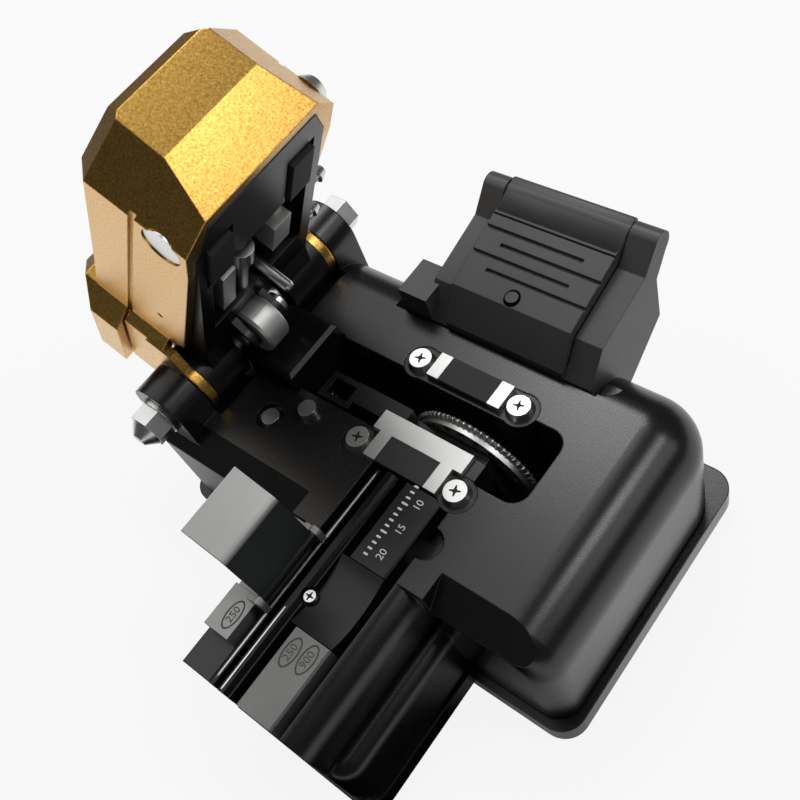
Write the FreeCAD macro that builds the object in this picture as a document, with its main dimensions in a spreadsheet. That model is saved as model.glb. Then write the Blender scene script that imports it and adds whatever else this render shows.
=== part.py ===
"""Fibre cleaver: a die-cast base with a fibre tray, two lower clamps, a toothed blade wheel on a sliding
carriage, a sprung gold lever with the upper pads, and a bin for the cut ends of the fibre.

Millimetres.  X runs along the blade's stroke, Y along the fibre towards the bin, Z up.  The origin lies on
the bench under the point where the fibre crosses the blade's plane."""

import FreeCAD, Part
import Sketcher
import math
import os

from FreeCAD import Placement, Rotation, Vector

DIMENSIONS = {
    # casting
    "deck_top": 28.0,
    "fibre_height": 29.0,
    "casting_bottom": 5.2,
    "body_left": -45.5,
    "body_right": 33.8,
    "body_front": -25.0,
    "body_back": 21.0,
    "edge_roll": 8.0,
    "corner_round": 9.0,
    "left_round": 4.0,
    "facet_run": 4.6,
    "facet_drop": 4.2,
    "facet_start": 14.5,
    # tray
    "tray_front": -50.2,
    "tray_left": -10.6,
    "shoulder_right": 13.6,
    "shoulder_round": 4.4,
    "rib_right": 16.6,
    "rib_top": 17.2,
    "rib_round": 2.6,
    "shadow_line": 1.1,
    "tray_corner_round": 3.6,
    "channel_left": -5.1,
    "channel_right": 9.8,
    "plate_thick": 4.3,
    "ledge_seat": 26.0,
    "notch_radius": 2.6,
    "notch_y": -18.0,
    # plates let into the tray
    "plate_left": 2.2,
    "plate_right": 8.6,
    "ruler_back": -12.1,
    "saddle_back": -25.7,
    "saddle_front": -37.3,
    "saddle_left": 0.9,
    "saddle_sag": 1.1,
    "plate_gap": 0.15,
    "plate_sink": 0.1,
    "plate_edge": 0.3,
    "strip_left": -1.5,
    "strip_right": 0.75,
    "strip_groove": 0.5,
    "rail_left": -3.9,
    "rail_right": -3.1,
    "rail_rise": 3.2,
    "ledge_right": -5.3,
    "ledge_front": -44.4,
    "ledge_top": 28.8,
    "tray_screw_y": -33.1,
    "tray_screw_radius": 1.15,
    # trench for the blade, and what opens into it
    "trench_near": -3.8,
    "trench_far": 4.2,
    "trench_left": -24.2,
    "trench_right": 18.2,
    "trench_round": 2.8,
    "pocket_left": 10.2,
    "pocket_near": -7.3,
    "pocket_far": 5.8,
    "hook_bay_near": -6.9,
    "hook_bay_right": -8.7,
    "cavity_front": -10.2,
    "cavity_top": 18.0,
    "running_gap": 0.3,
    # base plate and mat
    "plate_bottom": 0.6,
    "plate_rim_top": 4.4,
    "plate_rim": 1.3,
    "plate_round": 4.0,
    "shadow_step": 0.7,
    "wheel_well_floor": 2.6,
    "mat_inset": 6.0,
    "mat_sink": 0.8,
    "base_screw_radius": 2.0,
    "base_screw_inset": 6.5,
    # lower clamps
    "clamp_half": 8.3,
    "clamp_seat": 20.0,
    "clamp_ear_x": 9.25,
    "clamp_ear_radius": 2.9,
    "near_clamp_front": -11.6,
    "near_clamp_back": -3.8,
    "near_ear_y": -9.8,
    "near_bar_front": -7.1,
    "far_clamp_front": 3.6,
    "far_clamp_back": 9.0,
    "far_strip_front": 4.4,
    "far_ear_y": 6.25,
    "clamp_plate_thickness": 1.1,
    "strip_inner": 4.6,
    "strip_outer": 6.8,
    "clamp_screw_radius": 2.3,
    "clamp_screw_rise": 1.3,
    "clamp_shank_radius": 1.0,
    # hinge of the lever
    "hinge_x": -39.8,
    "hinge_z": 31.0,
    "boss_radius": 5.5,
    "near_boss_front": -23.0,
    "near_boss_back": -17.25,
    "far_boss_front": 15.25,
    "far_boss_back": 20.8,
    "axle_radius": 2.0,
    "fit_gap": 0.05,
    "barrel_radius": 5.75,
    "near_barrel_front": -15.3,
    "near_barrel_back": -8.0,
    "far_barrel_front": 4.6,
    "far_barrel_back": 13.4,
    "ring_thickness": 1.65,
    "nut_radius": 3.4,
    "nut_length": 3.0,
    "acorn_length": 1.9,
    "acorn_tip_radius": 1.2,
    "acorn_root_radius": 2.9,
    "washer_radius": 3.6,
    "washer_thickness": 0.7,
    "lever_bay_floor": 24.4,
    "lever_bay_right": -33.0,
    "lever_open_angle": 60.0,
    # push block
    "block_left": -35.0,
    "block_right": -24.6,
    "block_near": -7.5,
    "block_far": 4.3,
    "block_top": 31.2,
    "block_height": 9.0,
    "block_well_floor": 12.9,
    "block_bevel": 0.6,
    "block_bore_radius": 2.9,
    "block_roof": 2.0,
    "spring_wire": 0.7,
    "block_spring_radius": 2.4,
    # blade and carriage
    "wheel_radius": 12.0,
    "wheel_x": 3.6,
    "wheel_z": 16.95,
    "wheel_half_thickness": 0.4,
    "wheel_bevel": 0.5,
    "tooth_count": 60.0,
    "tooth_depth": 0.35,
    "index_radius": 11.2,
    "index_thickness": 0.9,
    "index_hole_radius": 0.55,
    "index_hole_circle": 10.15,
    "index_hole_count": 24.0,
    "wheel_bore": 2.0,
    "hub_screw_radius": 3.0,
    "hub_screw_head": 1.0,
    "carriage_near": -3.5,
    "carriage_far": -1.5,
    "carriage_top": 25.0,
    "carriage_bottom": 6.0,
    "slider_left": -6.0,
    "slider_right": 13.0,
    "slider_front": -9.9,
    "slider_top": 12.5,
    "rail_near": -8.6,
    "rail_far": -5.2,
    "rail_height": 3.6,
    "arm_left": -15.7,
    "arm_right": -9.0,
    "arm_near": -5.0,
    "hook_left": -21.0,
    "hook_near": -6.4,
    "hook_far": -1.6,
    "hook_wall": 1.0,
    "hook_bottom": 26.2,
    "hook_top": 28.0,
    "return_spring_radius": 1.8,
    "return_spring_end": -1.0,
    # lever, in its closed position, measured from the hinge
    "lever_middle": -1.0,
    "cover_half": 14.0,
    "cover_wall": 1.6,
    "cover_hollow_top": 14.0,
    "nose_low_u": 53.0,
    "nose_low_w": -1.1,
    "nose_bend_u": 55.6,
    "nose_bend_w": 6.5,
    "nose_top_u": 55.8,
    "nose_top_w": 14.2,
    "roof_front_u": 53.6,
    "roof_front_w": 16.3,
    "roof_back_w": 23.2,
    "roof_chamfer": 2.5,
    "nose_bevel_start": 48.6,
    "nose_bevel_half": 8.2,
    "cover_back_u": -8.0,
    "flank_root_w": 7.2,
    "flank_heel_u": 12.0,
    "flank_heel_w": 1.5,
    "flank_bend_u": 43.0,
    "flank_groove_width": 0.9,
    "flank_groove_depth": 0.5,
    "flank_groove_front_w": 6.6,
    "collar_front": 10.3,
    "collar_low_w": 4.6,
    "collar_low_step": 1.6,
    "collar_split_w": 12.4,
    "collar_split_gap": 0.4,
    "collar_high_step": 3.2,
    "collar_top_w": 23.6,
    "collar_chamfer": 5.7,
    "cover_screw_u": 46.3,
    "cover_screw_w": 2.9,
    "cover_screw_radius": 2.9,
    "cover_screw_dome": 1.7,
    "cover_shank_radius": 1.0,
    "flank_hole_u": 19.0,
    "flank_hole_w": 5.5,
    "flank_hole_radius": 0.5,
    "frame_front_u": 51.0,
    "frame_low_w": -1.2,
    "frame_top_w": 8.0,
    "frame_gap": 0.1,
    "frame_root_u": 7.0,
    "frame_roof": 3.0,
    "frame_window_front": 35.2,
    "frame_window_back": 17.0,
    "frame_window_half": 9.9,
    "roller_u": 8.3,
    "roller_w": -3.7,
    "roller_radius": 4.5,
    "roller_near": -5.75,
    "roller_far": -1.25,
    "roller_pin_radius": 1.25,
    "cheek_radius": 2.5,
    "cheek_thickness": 1.3,
    "cheek_gap": 0.3,
    "pad_u": 39.8,
    "pad_half_length": 4.6,
    "pad_bottom_w": -1.8,
    "pad_thickness": 1.6,
    "holder_half_length": 5.6,
    "holder_height": 3.2,
    "holder_gap": 0.15,
    "near_heel_back": 20.0,
    "near_heel_front": 31.0,
    "near_heel_side": -8.8,
    "near_heel_inner": -6.2,
    "far_heel_back": 22.0,
    "far_heel_front": 29.0,
    "far_heel_inner": 2.3,
    "far_heel_side": 6.0,
    "near_pad_front": -11.4,
    "near_pad_back": -7.2,
    "far_pad_front": 4.6,
    "far_pad_back": 8.8,
    "holder_flange": 0.8,
    "pad_spring_radius": 1.5,
    "adjust_y": -3.2,
    "adjust_w": 0.3,
    "adjust_head_radius": 1.8,
    "adjust_head_back": 27.0,
    "adjust_head_front": 31.0,
    "adjust_tip": 13.5,
    "peg_u": 18.2,
    "peg_y": 0.8,
    "peg_radius": 0.9,
    "peg_end_w": -6.0,
    "side_screw_front_u": 28.6,
    "side_screw_back_u": 17.5,
    "side_screw_w": -0.1,
    "side_screw_radius": 1.25,
    "side_screw_rise": 1.4,
    # lid over the saddle of the tray
    "lid_hinge_x": -4.3,
    "lid_hinge_z": 29.8,
    "lid_knuckle_radius": 0.95,
    "lid_pin_radius": 0.45,
    "lid_back": -26.0,
    "lid_front": -37.2,
    "lid_panel": 8.8,
    "lid_tab": 7.1,
    "lid_tab_angle": 36.0,
    "lid_thickness": 1.1,
    "lid_open_angle": 116.0,
    # small pieces on the deck
    "stop_pin_x": -19.8,
    "stop_pin_y": -9.8,
    "stop_pin_radius": 1.5,
    "magnet_x": -25.3,
    "magnet_y": -13.5,
    "magnet_radius": 1.5,
    "magnet_bore": 2.3,
    "scoop_y": 16.5,
    "scoop_radius": 2.6,
    "scoop_depth": 0.8,
    # bin
    "bin_left": -13.7,
    "bin_right": 16.7,
    "bin_front": 13.6,
    "bin_back": 32.5,
    "bin_floor": 17.2,
    "bin_wall": 1.4,
    "bin_front_top": 28.2,
    "bin_knee_y": 17.8,
    "bin_knee_top": 33.4,
    "bin_back_top": 36.6,
    "bin_lid_left": -9.5,
    "bin_lid_right": 12.0,
    "bin_lid_thickness": 1.6,
    "lid_groove_first": 21.1,
    "lid_groove_pitch": 2.13,
    "lid_groove_width": 0.6,
    "lid_groove_depth": 0.5,
    "lid_groove_stop": 4.0,
    "lid_seam_y": 29.7,
    "lid_screw_x": 0.9,
    "lid_screw_y": 18.6,
    "lid_screw_radius": 1.3,
    "bin_heel_rise": 7.0,
    "bin_toe_y": 22.0,
    "bin_tab_left": -18.3,
    "bin_tab_back": 20.5,
    "bin_tab_top": 32.8,
    "bin_tab_height": 9.0,
    "bay_left": -20.2,
    "bay_right": 17.6,
    "bay_front": 13.35,
    "bay_floor": 16.5,
    "bin_hinge_y": 34.6,
    "bin_hinge_z": 38.2,
    "bin_knuckle_radius": 2.0,
    "bin_pin_radius": 0.9,
}

document = FreeCAD.newDocument("fibre_cleaver")
sheet = document.addObject("Spreadsheet::Sheet", "dims")


class Size(float):
    """A number that remembers the sheet expression it was worked out with."""

    def __new__(cls, value, text=None):
        size = super().__new__(cls, value)
        size.text = text or f"({float(value)!r})"
        return size

    def __add__(self, other):
        return Size(float(self) + float(other), f"({self.text} + {Size.of(other).text})")

    def __radd__(self, other):
        return Size.of(other) + self

    def __sub__(self, other):
        return Size(float(self) - float(other), f"({self.text} - {Size.of(other).text})")

    def __rsub__(self, other):
        return Size.of(other) - self

    def __mul__(self, other):
        return Size(float(self) * float(other), f"({self.text} * {Size.of(other).text})")

    def __rmul__(self, other):
        return Size.of(other) * self

    def __truediv__(self, other):
        return Size(float(self) / float(other), f"({self.text} / {Size.of(other).text})")

    def __neg__(self):
        return Size(-float(self), f"(-1 * {self.text})")

    @staticmethod
    def of(value):
        return value if isinstance(value, Size) else Size(value)


class Sizes:
    """The sheet's values by name."""


def fill_sheet():
    values = Sizes()
    for row, (alias, value) in enumerate(DIMENSIONS.items(), start=1):
        sheet.set(f"A{row}", alias)
        sheet.set(f"B{row}", repr(value))
        sheet.setAlias(f"B{row}", alias)
        setattr(values, alias, Size(value, f"dims.{alias}"))
    return values


D = fill_sheet()
document.recompute()
NODES = []


def bind(thing, path, size):
    thing.setExpression(path, Size.of(size).text)


def node(thing, name):
    """Names a finished sub-part and lists it for export."""
    thing.Label = name
    NODES.append(thing)
    return thing


# --- sketched bodies -----------------------------------------------------------------------------------


def new_body(name):
    return document.addObject("PartDesign::Body", name)


def origin_plane(body, role):
    return next(plane for plane in body.Origin.OriginFeatures if plane.Role == role)


def circle(centre_x, centre_y, radius):
    return ("circle", centre_x, centre_y, radius)


def sketch(body, name, role, level, loops, turn=None):
    """Closed loops, with corners and radii bound to the sheet, on one of the body's own origin planes."""
    drawing = body.newObject("Sketcher::SketchObject", name)
    drawing.AttachmentSupport = [(origin_plane(body, role), "")]
    drawing.MapMode = "FlatFace"
    if turn is not None:
        drawing.AttachmentOffset = Placement(Vector(), turn)
    bind(drawing, "AttachmentOffset.Base.z", level)
    bound = []
    for loop in loops:
        first = drawing.GeometryCount
        if loop[0] == "circle":
            kind, centre_x, centre_y, radius = loop
            middle = Vector(centre_x, centre_y, 0)
            drawing.addGeometry(Part.Circle(middle, Vector(0, 0, 1), float(radius)), False)
            bound.append(("DistanceX", first, 3, centre_x))
            bound.append(("DistanceY", first, 3, centre_y))
            bound.append(("Radius", first, None, radius))
            continue
        corners = [Vector(x, y, 0) for x, y in loop]
        lines = [Part.LineSegment(a, b) for a, b in zip(corners, corners[1:] + corners[:1])]
        drawing.addGeometry(lines, False)
        count = len(loop)
        joins = [
            Sketcher.Constraint("Coincident", first + i, 2, first + (i + 1) % count, 1)
            for i in range(count)
        ]
        drawing.addConstraint(joins)
        for i, (x, y) in enumerate(loop):
            bound.append(("DistanceX", first + i, 1, x))
            bound.append(("DistanceY", first + i, 1, y))
    for kind, index, point, size in bound:
        if kind == "Radius":
            row = drawing.addConstraint(Sketcher.Constraint("Radius", index, float(size)))
        else:
            row = drawing.addConstraint(Sketcher.Constraint(kind, -1, 1, index, point, float(size)))
        bind(drawing, f"Constraints[{row}]", size)
    return drawing


ROLE = {"x": "YZ_Plane", "y": "XZ_Plane", "z": "XY_Plane"}


def pad(body, name, axis, span, *loops):
    """Adds the loops, drawn square to the axis, from span[0] to span[1] along it."""
    start, end = (Size.of(value) for value in span)
    level = -end if axis == "y" else start
    feature = body.newObject("PartDesign::Pad", name)
    feature.Profile = sketch(body, f"{name}_sketch", ROLE[axis], level, loops)
    bind(feature, "Length", end - start)
    body.Tip = feature
    return feature


def pocket(body, name, axis, span, *loops):
    """Removes the loops, drawn square to the axis, from span[0] to span[1] along it."""
    document.recompute()
    before = body.Tip.Shape.Volume
    start, end = (Size.of(value) for value in span)
    level = -start if axis == "y" else end
    drawing = sketch(body, f"{name}_sketch", ROLE[axis], level, loops)
    feature = body.newObject("PartDesign::Pocket", name)
    feature.Profile = drawing
    bind(feature, "Length", end - start)
    body.Tip = feature
    document.recompute()
    if feature.Shape.Volume >= before:
        raise ValueError(f"{name} removes nothing")
    return feature


def rectangle(left, right, low, high):
    return [(left, low), (right, low), (right, high), (left, high)]


def nearest_edges(shape, points):
    names = []
    for point in points:
        spot = Part.Vertex(*(float(value) for value in point))
        gaps = [edge.distToShape(spot)[0] for edge in shape.Edges]
        names.append(f"Edge{1 + gaps.index(min(gaps))}")
    return sorted(set(names))


def dress_edges(body, kind, name, path, size, points):
    document.recompute()
    base = body.Tip
    feature = body.newObject(kind, name)
    feature.Base = (base, nearest_edges(base.Shape, points))
    bind(feature, path, size)
    body.Tip = feature
    document.recompute()
    if feature.Shape.isNull() or not feature.Shape.isValid():
        raise ValueError(f"{name} has no valid shape")
    return feature


def round_edges(body, name, radius, *points):
    """Fillets the edges that pass through the points."""
    return dress_edges(body, "PartDesign::Fillet", name, "Radius", radius, points)


def bevel_edges(body, name, size, *points):
    """Chamfers the edges that pass through the points."""
    return dress_edges(body, "PartDesign::Chamfer", name, "Size", size, points)


# --- primitives ----------------------------------------------------------------------------------------


def place(thing, x, y, z):
    for axis, value in zip("xyz", (x, y, z)):
        bind(thing, f"Placement.Base.{axis}", value)


def block(name, x, y, z):
    thing = document.addObject("Part::Box", name)
    for side, span in (("Length", x), ("Width", y), ("Height", z)):
        bind(thing, side, Size.of(span[1]) - span[0])
    place(thing, x[0], y[0], z[0])
    return thing


TURNS = {"x": Rotation(Vector(0, 1, 0), 90), "y": Rotation(Vector(1, 0, 0), -90), "z": Rotation()}


def rod(name, axis, across, radius, span, top_radius=None):
    """A cylinder, or a cone when it has a second radius, along an axis from span[0] to span[1].  across
    gives its two other coordinates in the order X, Y, Z."""
    kind = "Part::Cylinder" if top_radius is None else "Part::Cone"
    thing = document.addObject(kind, name)
    thing.Placement = Placement(Vector(), TURNS[axis])
    if top_radius is None:
        bind(thing, "Radius", radius)
    else:
        bind(thing, "Radius1", radius)
        bind(thing, "Radius2", top_radius)
    bind(thing, "Height", Size.of(span[1]) - span[0])
    spot = {
        "x": (span[0], across[0], across[1]),
        "y": (across[0], span[0], across[1]),
        "z": (across[0], across[1], span[0]),
    }
    place(thing, *spot[axis])
    return thing


def fuse(name, *things):
    result = document.addObject("Part::MultiFuse", name)
    result.Shapes = list(things)
    return result


def cut(name, base, *tools):
    result = document.addObject("Part::Cut", name)
    result.Base = base
    result.Tool = tools[0] if len(tools) == 1 else fuse(f"{name}_tools", *tools)
    return result


def tube(name, axis, across, outer, inner, span):
    return cut(name, rod(f"{name}_outside", axis, across, outer, span),
               rod(f"{name}_bore", axis, across, inner, (span[0] - 1, span[1] + 1)))


def pan_screw(name, axis, across, face, head_radius, rise, shank_radius, depth):
    """A pan-head screw with a cross recess, whose head stands up from the face."""
    head = rod(f"{name}_head", axis, across, head_radius, (face, face + rise), head_radius * 0.78)
    shank = rod(f"{name}_shank", axis, across, shank_radius, (face - depth, face + 0.05))
    return fuse(name, head, shank)


# --- base ----------------------------------------------------------------------------------------------


def footprint(body_grow, tray_grow):
    """Outline of the casting in plan, grown or shrunk: the body with the tray in front of it."""
    return [
        (D.body_left - body_grow, D.body_front - body_grow),
        (D.tray_left - tray_grow, D.body_front - body_grow),
        (D.tray_left - tray_grow, D.tray_front - tray_grow),
        (D.rib_right + tray_grow, D.tray_front - tray_grow),
        (D.rib_right + tray_grow, D.body_front - body_grow),
        (D.body_right + body_grow, D.body_front - body_grow),
        (D.body_right + body_grow, D.body_back + body_grow),
        (D.body_left - body_grow, D.body_back + body_grow),
    ]


def base_screw_spots():
    inset = D.base_screw_inset
    return [
        (D.body_left + inset, D.body_front + inset),
        (D.body_left + inset, D.body_back - inset),
        (D.body_right - inset, D.body_front + inset),
        (D.body_right - inset, D.body_back - inset),
        (D.rib_right - inset, D.tray_front + inset),
        (D.tray_left + inset, D.tray_front + inset),
    ]


def clamp_screw_spots():
    return [(side * D.clamp_ear_x, y) for y in (D.near_ear_y, D.far_ear_y) for side in (-1, 1)]


def front_facet(body, name, x_from, x_to):
    """A long bevel where the deck turns down into the front wall."""
    pocket(body, name, "x", (x_from, x_to), [
        (D.body_front - 1, D.deck_top - D.facet_drop),
        (D.body_front, D.deck_top - D.facet_drop),
        (D.body_front + D.facet_run, D.deck_top),
        (D.body_front + D.facet_run, D.deck_top + 1),
        (D.body_front - 1, D.deck_top + 1),
    ])


def make_base_body():
    body = new_body("base_body_casting")
    top, bottom = D.deck_top, D.casting_bottom
    high = (bottom + top) / 2
    pad(body, "housing", "z", (bottom, top),
        rectangle(D.body_left, D.body_right, D.body_front, D.body_back))
    round_edges(body, "back_corner", D.corner_round, (D.body_right, D.body_back, high))
    round_edges(body, "deck_roll", D.edge_roll, (D.body_right, 0, top))
    front_facet(body, "right_facet", D.facet_start, D.body_right + 1)
    front_facet(body, "left_facet", D.body_left - 1, D.tray_left)
    round_edges(body, "front_corner", D.left_round, (D.body_right, D.body_front, bottom + 1))
    round_edges(body, "left_corner", D.left_round, (D.body_left, D.body_front, bottom + 1))
    overlap = D.body_front + D.facet_run + 1
    pad(body, "tray_rib", "z", (bottom, D.rib_top),
        rectangle(D.tray_left, D.rib_right, D.tray_front, overlap))
    round_edges(body, "rib_corner", D.tray_corner_round, (D.rib_right, D.tray_front, bottom + 1))
    round_edges(body, "rib_roll", D.rib_round,
                (D.rib_right, (D.tray_front + D.body_front) / 2, D.rib_top))
    pad(body, "tray_deck", "z", (bottom, top),
        rectangle(D.tray_left, D.shoulder_right, D.tray_front, overlap))
    round_edges(body, "shoulder_roll", D.shoulder_round,
                (D.shoulder_right, (D.tray_front + D.body_front) / 2, top))
    pocket(body, "shadow_groove", "y", (D.tray_front - 1, D.body_front),
           rectangle(D.shoulder_right - D.shadow_line, D.shoulder_right + 1,
                     D.rib_top, D.rib_top + D.shadow_line))
    cut_tray(body)
    cut_trench(body)
    pocket(body, "lever_bay", "z", (D.lever_bay_floor, top + 1),
           rectangle(D.body_left - 1, D.lever_bay_right, D.near_boss_back, D.far_boss_front))
    pocket(body, "bin_bay", "z", (D.bay_floor, top + 1),
           rectangle(D.bay_left, D.bay_right, D.bay_front, D.body_back + 1))
    for name, front, back in (("near", D.near_boss_front, D.near_boss_back),
                              ("far", D.far_boss_front, D.far_boss_back)):
        pad(body, f"{name}_boss_foot", "y", (front, back),
            rectangle(D.hinge_x - D.boss_radius, D.hinge_x + D.boss_radius,
                      D.clamp_seat, D.hinge_z))
        pad(body, f"{name}_boss", "y", (front, back), circle(D.hinge_x, D.hinge_z, D.boss_radius))
    pocket(body, "axle_bore", "y", (D.near_boss_front - 1, D.far_boss_back + 1),
           circle(D.hinge_x, D.hinge_z, D.axle_radius + D.fit_gap))
    pocket(body, "magnet_seat", "z", (top - 1, top + 1), circle(D.magnet_x, D.magnet_y, D.magnet_bore))
    pocket(body, "magnet_hole", "z", (top - 4, top), circle(D.magnet_x, D.magnet_y, D.magnet_radius))
    pocket(body, "stop_pin_hole", "z", (top - 4, top + 1),
           circle(D.stop_pin_x, D.stop_pin_y, D.stop_pin_radius))
    pocket(body, "deck_scoop", "z", (top - D.scoop_depth, top + 1),
           circle(D.bay_right, D.scoop_y, D.scoop_radius))
    pocket(body, "clamp_screw_holes", "z", (D.cavity_top + 0.4, D.clamp_seat + 0.1),
           *[circle(x, y, D.clamp_shank_radius + D.fit_gap) for x, y in clamp_screw_spots()])
    pocket(body, "base_screw_holes", "z", (bottom - 1, bottom + 4),
           *[circle(x, y, D.clamp_shank_radius + D.fit_gap) for x, y in base_screw_spots()])
    return node(body, "base_body")


def cut_tray(body):
    """The channel for the tray's plates, the ledge's seat and the thumb notch beside the ruler."""
    front = D.tray_front - 1
    pocket(body, "tray_channel", "z", (channel_floor(), D.deck_top + 1),
           rectangle(D.channel_left, D.channel_right, front, D.near_clamp_front + 0.5))
    pocket(body, "ledge_seat", "z", (D.ledge_seat, D.deck_top + 1),
           rectangle(D.tray_left - 1, D.channel_left + 0.1, front, D.saddle_back + 1.2))
    pocket(body, "thumb_notch", "z", (channel_floor(), D.deck_top + 1),
           circle(D.channel_right, D.notch_y, D.notch_radius))


def cut_trench(body):
    """The trench for the blade wheel, the well of the push block and the seats of the lower clamps."""
    top = D.deck_top + 1
    pocket(body, "trench", "z", (D.casting_bottom - 1, top), [
        (D.trench_left, D.hook_bay_near),
        (D.hook_bay_right, D.hook_bay_near),
        (D.hook_bay_right, D.trench_near),
        (D.pocket_left, D.trench_near),
        (D.pocket_left, D.pocket_near),
        (D.trench_right, D.pocket_near),
        (D.trench_right, D.pocket_far),
        (D.pocket_left, D.pocket_far),
        (D.pocket_left, D.trench_far),
        (D.trench_left, D.trench_far),
    ])
    round_edges(body, "trench_corners", D.trench_round,
                (D.trench_right, D.pocket_near, D.deck_top - 2),
                (D.trench_right, D.pocket_far, D.deck_top - 2))
    pocket(body, "carriage_cavity", "z", (D.casting_bottom - 1, D.cavity_top),
           rectangle(D.trench_left, D.trench_right, D.cavity_front, D.trench_near + 0.5))
    gap = D.running_gap
    pocket(body, "block_well", "z", (D.block_well_floor, top),
           rectangle(D.block_left - gap, D.trench_left + 0.1, D.block_near - gap, D.block_far + gap))
    half = D.clamp_half + D.fit_gap
    pocket(body, "near_seat", "z", (D.clamp_seat, top),
           rectangle(-half, half, D.near_clamp_front, D.trench_near + 0.1))
    pocket(body, "far_seat", "z", (D.clamp_seat, top),
           rectangle(-half, half, D.trench_far - 0.1, D.far_clamp_back + D.fit_gap))
    ear = D.clamp_ear_radius + D.fit_gap
    for name, (x, y) in zip(("near_left", "near_right", "far_left", "far_right"),
                            clamp_screw_spots()):
        pocket(body, f"{name}_ear_seat", "z", (D.clamp_seat, top), circle(x, y, ear))


def make_base_plate():
    body = new_body("base_plate_casting")
    pad(body, "rim", "z", (D.plate_bottom, D.plate_rim_top), footprint(D.plate_rim, D.fit_gap * 10))
    grow = D.plate_rim
    middle = (D.plate_bottom + D.plate_rim_top) / 2
    round_edges(body, "rim_corners", D.plate_round,
                (D.body_left - grow, D.body_front - grow, middle),
                (D.body_left - grow, D.body_back + grow, middle),
                (D.body_right + grow, D.body_back + grow, middle),
                (D.body_right + grow, D.body_front - grow, middle),
                (D.rib_right + D.fit_gap * 10, D.tray_front - D.fit_gap * 10, middle))
    pad(body, "step", "z", (D.plate_rim_top, D.casting_bottom),
        footprint(-D.shadow_step - 3, -D.shadow_step))
    pocket(body, "wheel_well", "z", (D.wheel_well_floor, D.casting_bottom + 1),
           rectangle(D.wheel_x - D.wheel_radius, D.wheel_x + D.wheel_radius,
                     D.carriage_far, D.trench_far))
    pocket(body, "mat_seat", "z", (D.plate_bottom - 1, D.plate_bottom + D.mat_sink),
           footprint(-D.mat_inset, -D.mat_inset))
    pocket(body, "screw_holes", "z", (D.plate_bottom - 1, D.casting_bottom + 1),
           *[circle(x, y, D.clamp_shank_radius + D.fit_gap) for x, y in base_screw_spots()])
    pocket(body, "screw_seats", "z", (D.plate_bottom - 1, D.plate_bottom + 1.6),
           *[circle(x, y, D.base_screw_radius + D.fit_gap) for x, y in base_screw_spots()])
    return node(body, "base_plate")


def make_base_mat():
    inset = D.mat_inset + 0.1
    body = new_body("base_mat_sheet")
    pad(body, "mat", "z", (0, D.plate_bottom + D.mat_sink), footprint(-inset, -inset))
    pocket(body, "screw_windows", "z", (-1, D.plate_bottom + D.mat_sink + 1),
           *[circle(x, y, D.base_screw_radius + 0.5) for x, y in base_screw_spots()])
    return node(body, "base_mat")


def make_base_screws():
    heads = []
    low = D.plate_bottom + 0.2
    for i, (x, y) in enumerate(base_screw_spots()):
        heads.append(rod(f"base_screw_head_{i}", "z", (x, y), D.base_screw_radius,
                         (low, D.plate_bottom + 1.6)))
        heads.append(rod(f"base_screw_shank_{i}", "z", (x, y), D.clamp_shank_radius,
                         (low + 1, D.casting_bottom + 3.8)))
    return node(fuse("base_screw_set", *heads), "base_screws")


# --- lower clamps --------------------------------------------------------------------------------------


def clamp_level():
    """Top of both lower clamp blocks, under their plates and pads."""
    return D.fibre_height - D.clamp_plate_thickness


def clamp_block(name, front, back, ear_y):
    block_top = clamp_level()
    body = new_body(f"{name}_solid")
    pad(body, "foot", "z", (D.clamp_seat, block_top),
        rectangle(-D.clamp_half, D.clamp_half, front, back))
    for side, word in ((-1, "left"), (1, "right")):
        pad(body, f"{word}_ear", "z", (D.clamp_seat, block_top),
            circle(side * D.clamp_ear_x, ear_y, D.clamp_ear_radius))
    pocket(body, "screw_holes", "z", (D.clamp_seat - 1, block_top + 1),
           *[circle(side * D.clamp_ear_x, ear_y, D.clamp_shank_radius + D.fit_gap)
             for side in (-1, 1)])
    return body


def make_near_clamp():
    node(clamp_block("near_clamp_block", D.near_clamp_front, D.near_clamp_back, D.near_ear_y),
         "near_clamp_block")
    level = (clamp_level(), D.fibre_height)
    plate = new_body("near_clamp_plate_sheet")
    outer, inner, half = D.strip_outer, D.strip_inner, D.clamp_half
    front, step, back = D.near_clamp_front, D.near_bar_front, D.near_clamp_back
    pad(plate, "plate", "z", level, [
        (-half, back), (-half, step), (-outer, step), (-outer, front), (-inner, front), (-inner, step),
        (inner, step), (inner, front), (outer, front), (outer, step), (half, step), (half, back),
    ])
    node(plate, "near_clamp_plate")
    pad_body = new_body("near_clamp_pad_rubber")
    pad(pad_body, "pad", "z", (clamp_level(), D.fibre_height - 0.05),
        rectangle(-inner, inner, front, step))
    node(pad_body, "near_clamp_pad")


def make_far_clamp():
    body = clamp_block("far_clamp_block", D.far_clamp_front, D.far_clamp_back, D.far_ear_y)
    pocket(body, "trench_relief", "z", (D.clamp_seat - 1, clamp_level() - 2),
           rectangle(-D.clamp_half - 4, D.clamp_half + 4, D.far_clamp_front - 1, D.trench_far))
    node(body, "far_clamp_block")
    front, back = D.far_strip_front, D.far_pad_back
    strips = new_body("far_clamp_strip_pair")
    pad(strips, "strips", "z", (clamp_level(), D.fibre_height),
        rectangle(-D.strip_outer, -D.strip_inner, front, back),
        rectangle(D.strip_inner, D.strip_outer, front, back))
    node(strips, "far_clamp_strips")
    pad_body = new_body("far_clamp_pad_rubber")
    pad(pad_body, "pad", "z", (clamp_level(), D.fibre_height - 0.05),
        rectangle(-D.strip_inner, D.strip_inner, front, back))
    node(pad_body, "far_clamp_pad")


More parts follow.
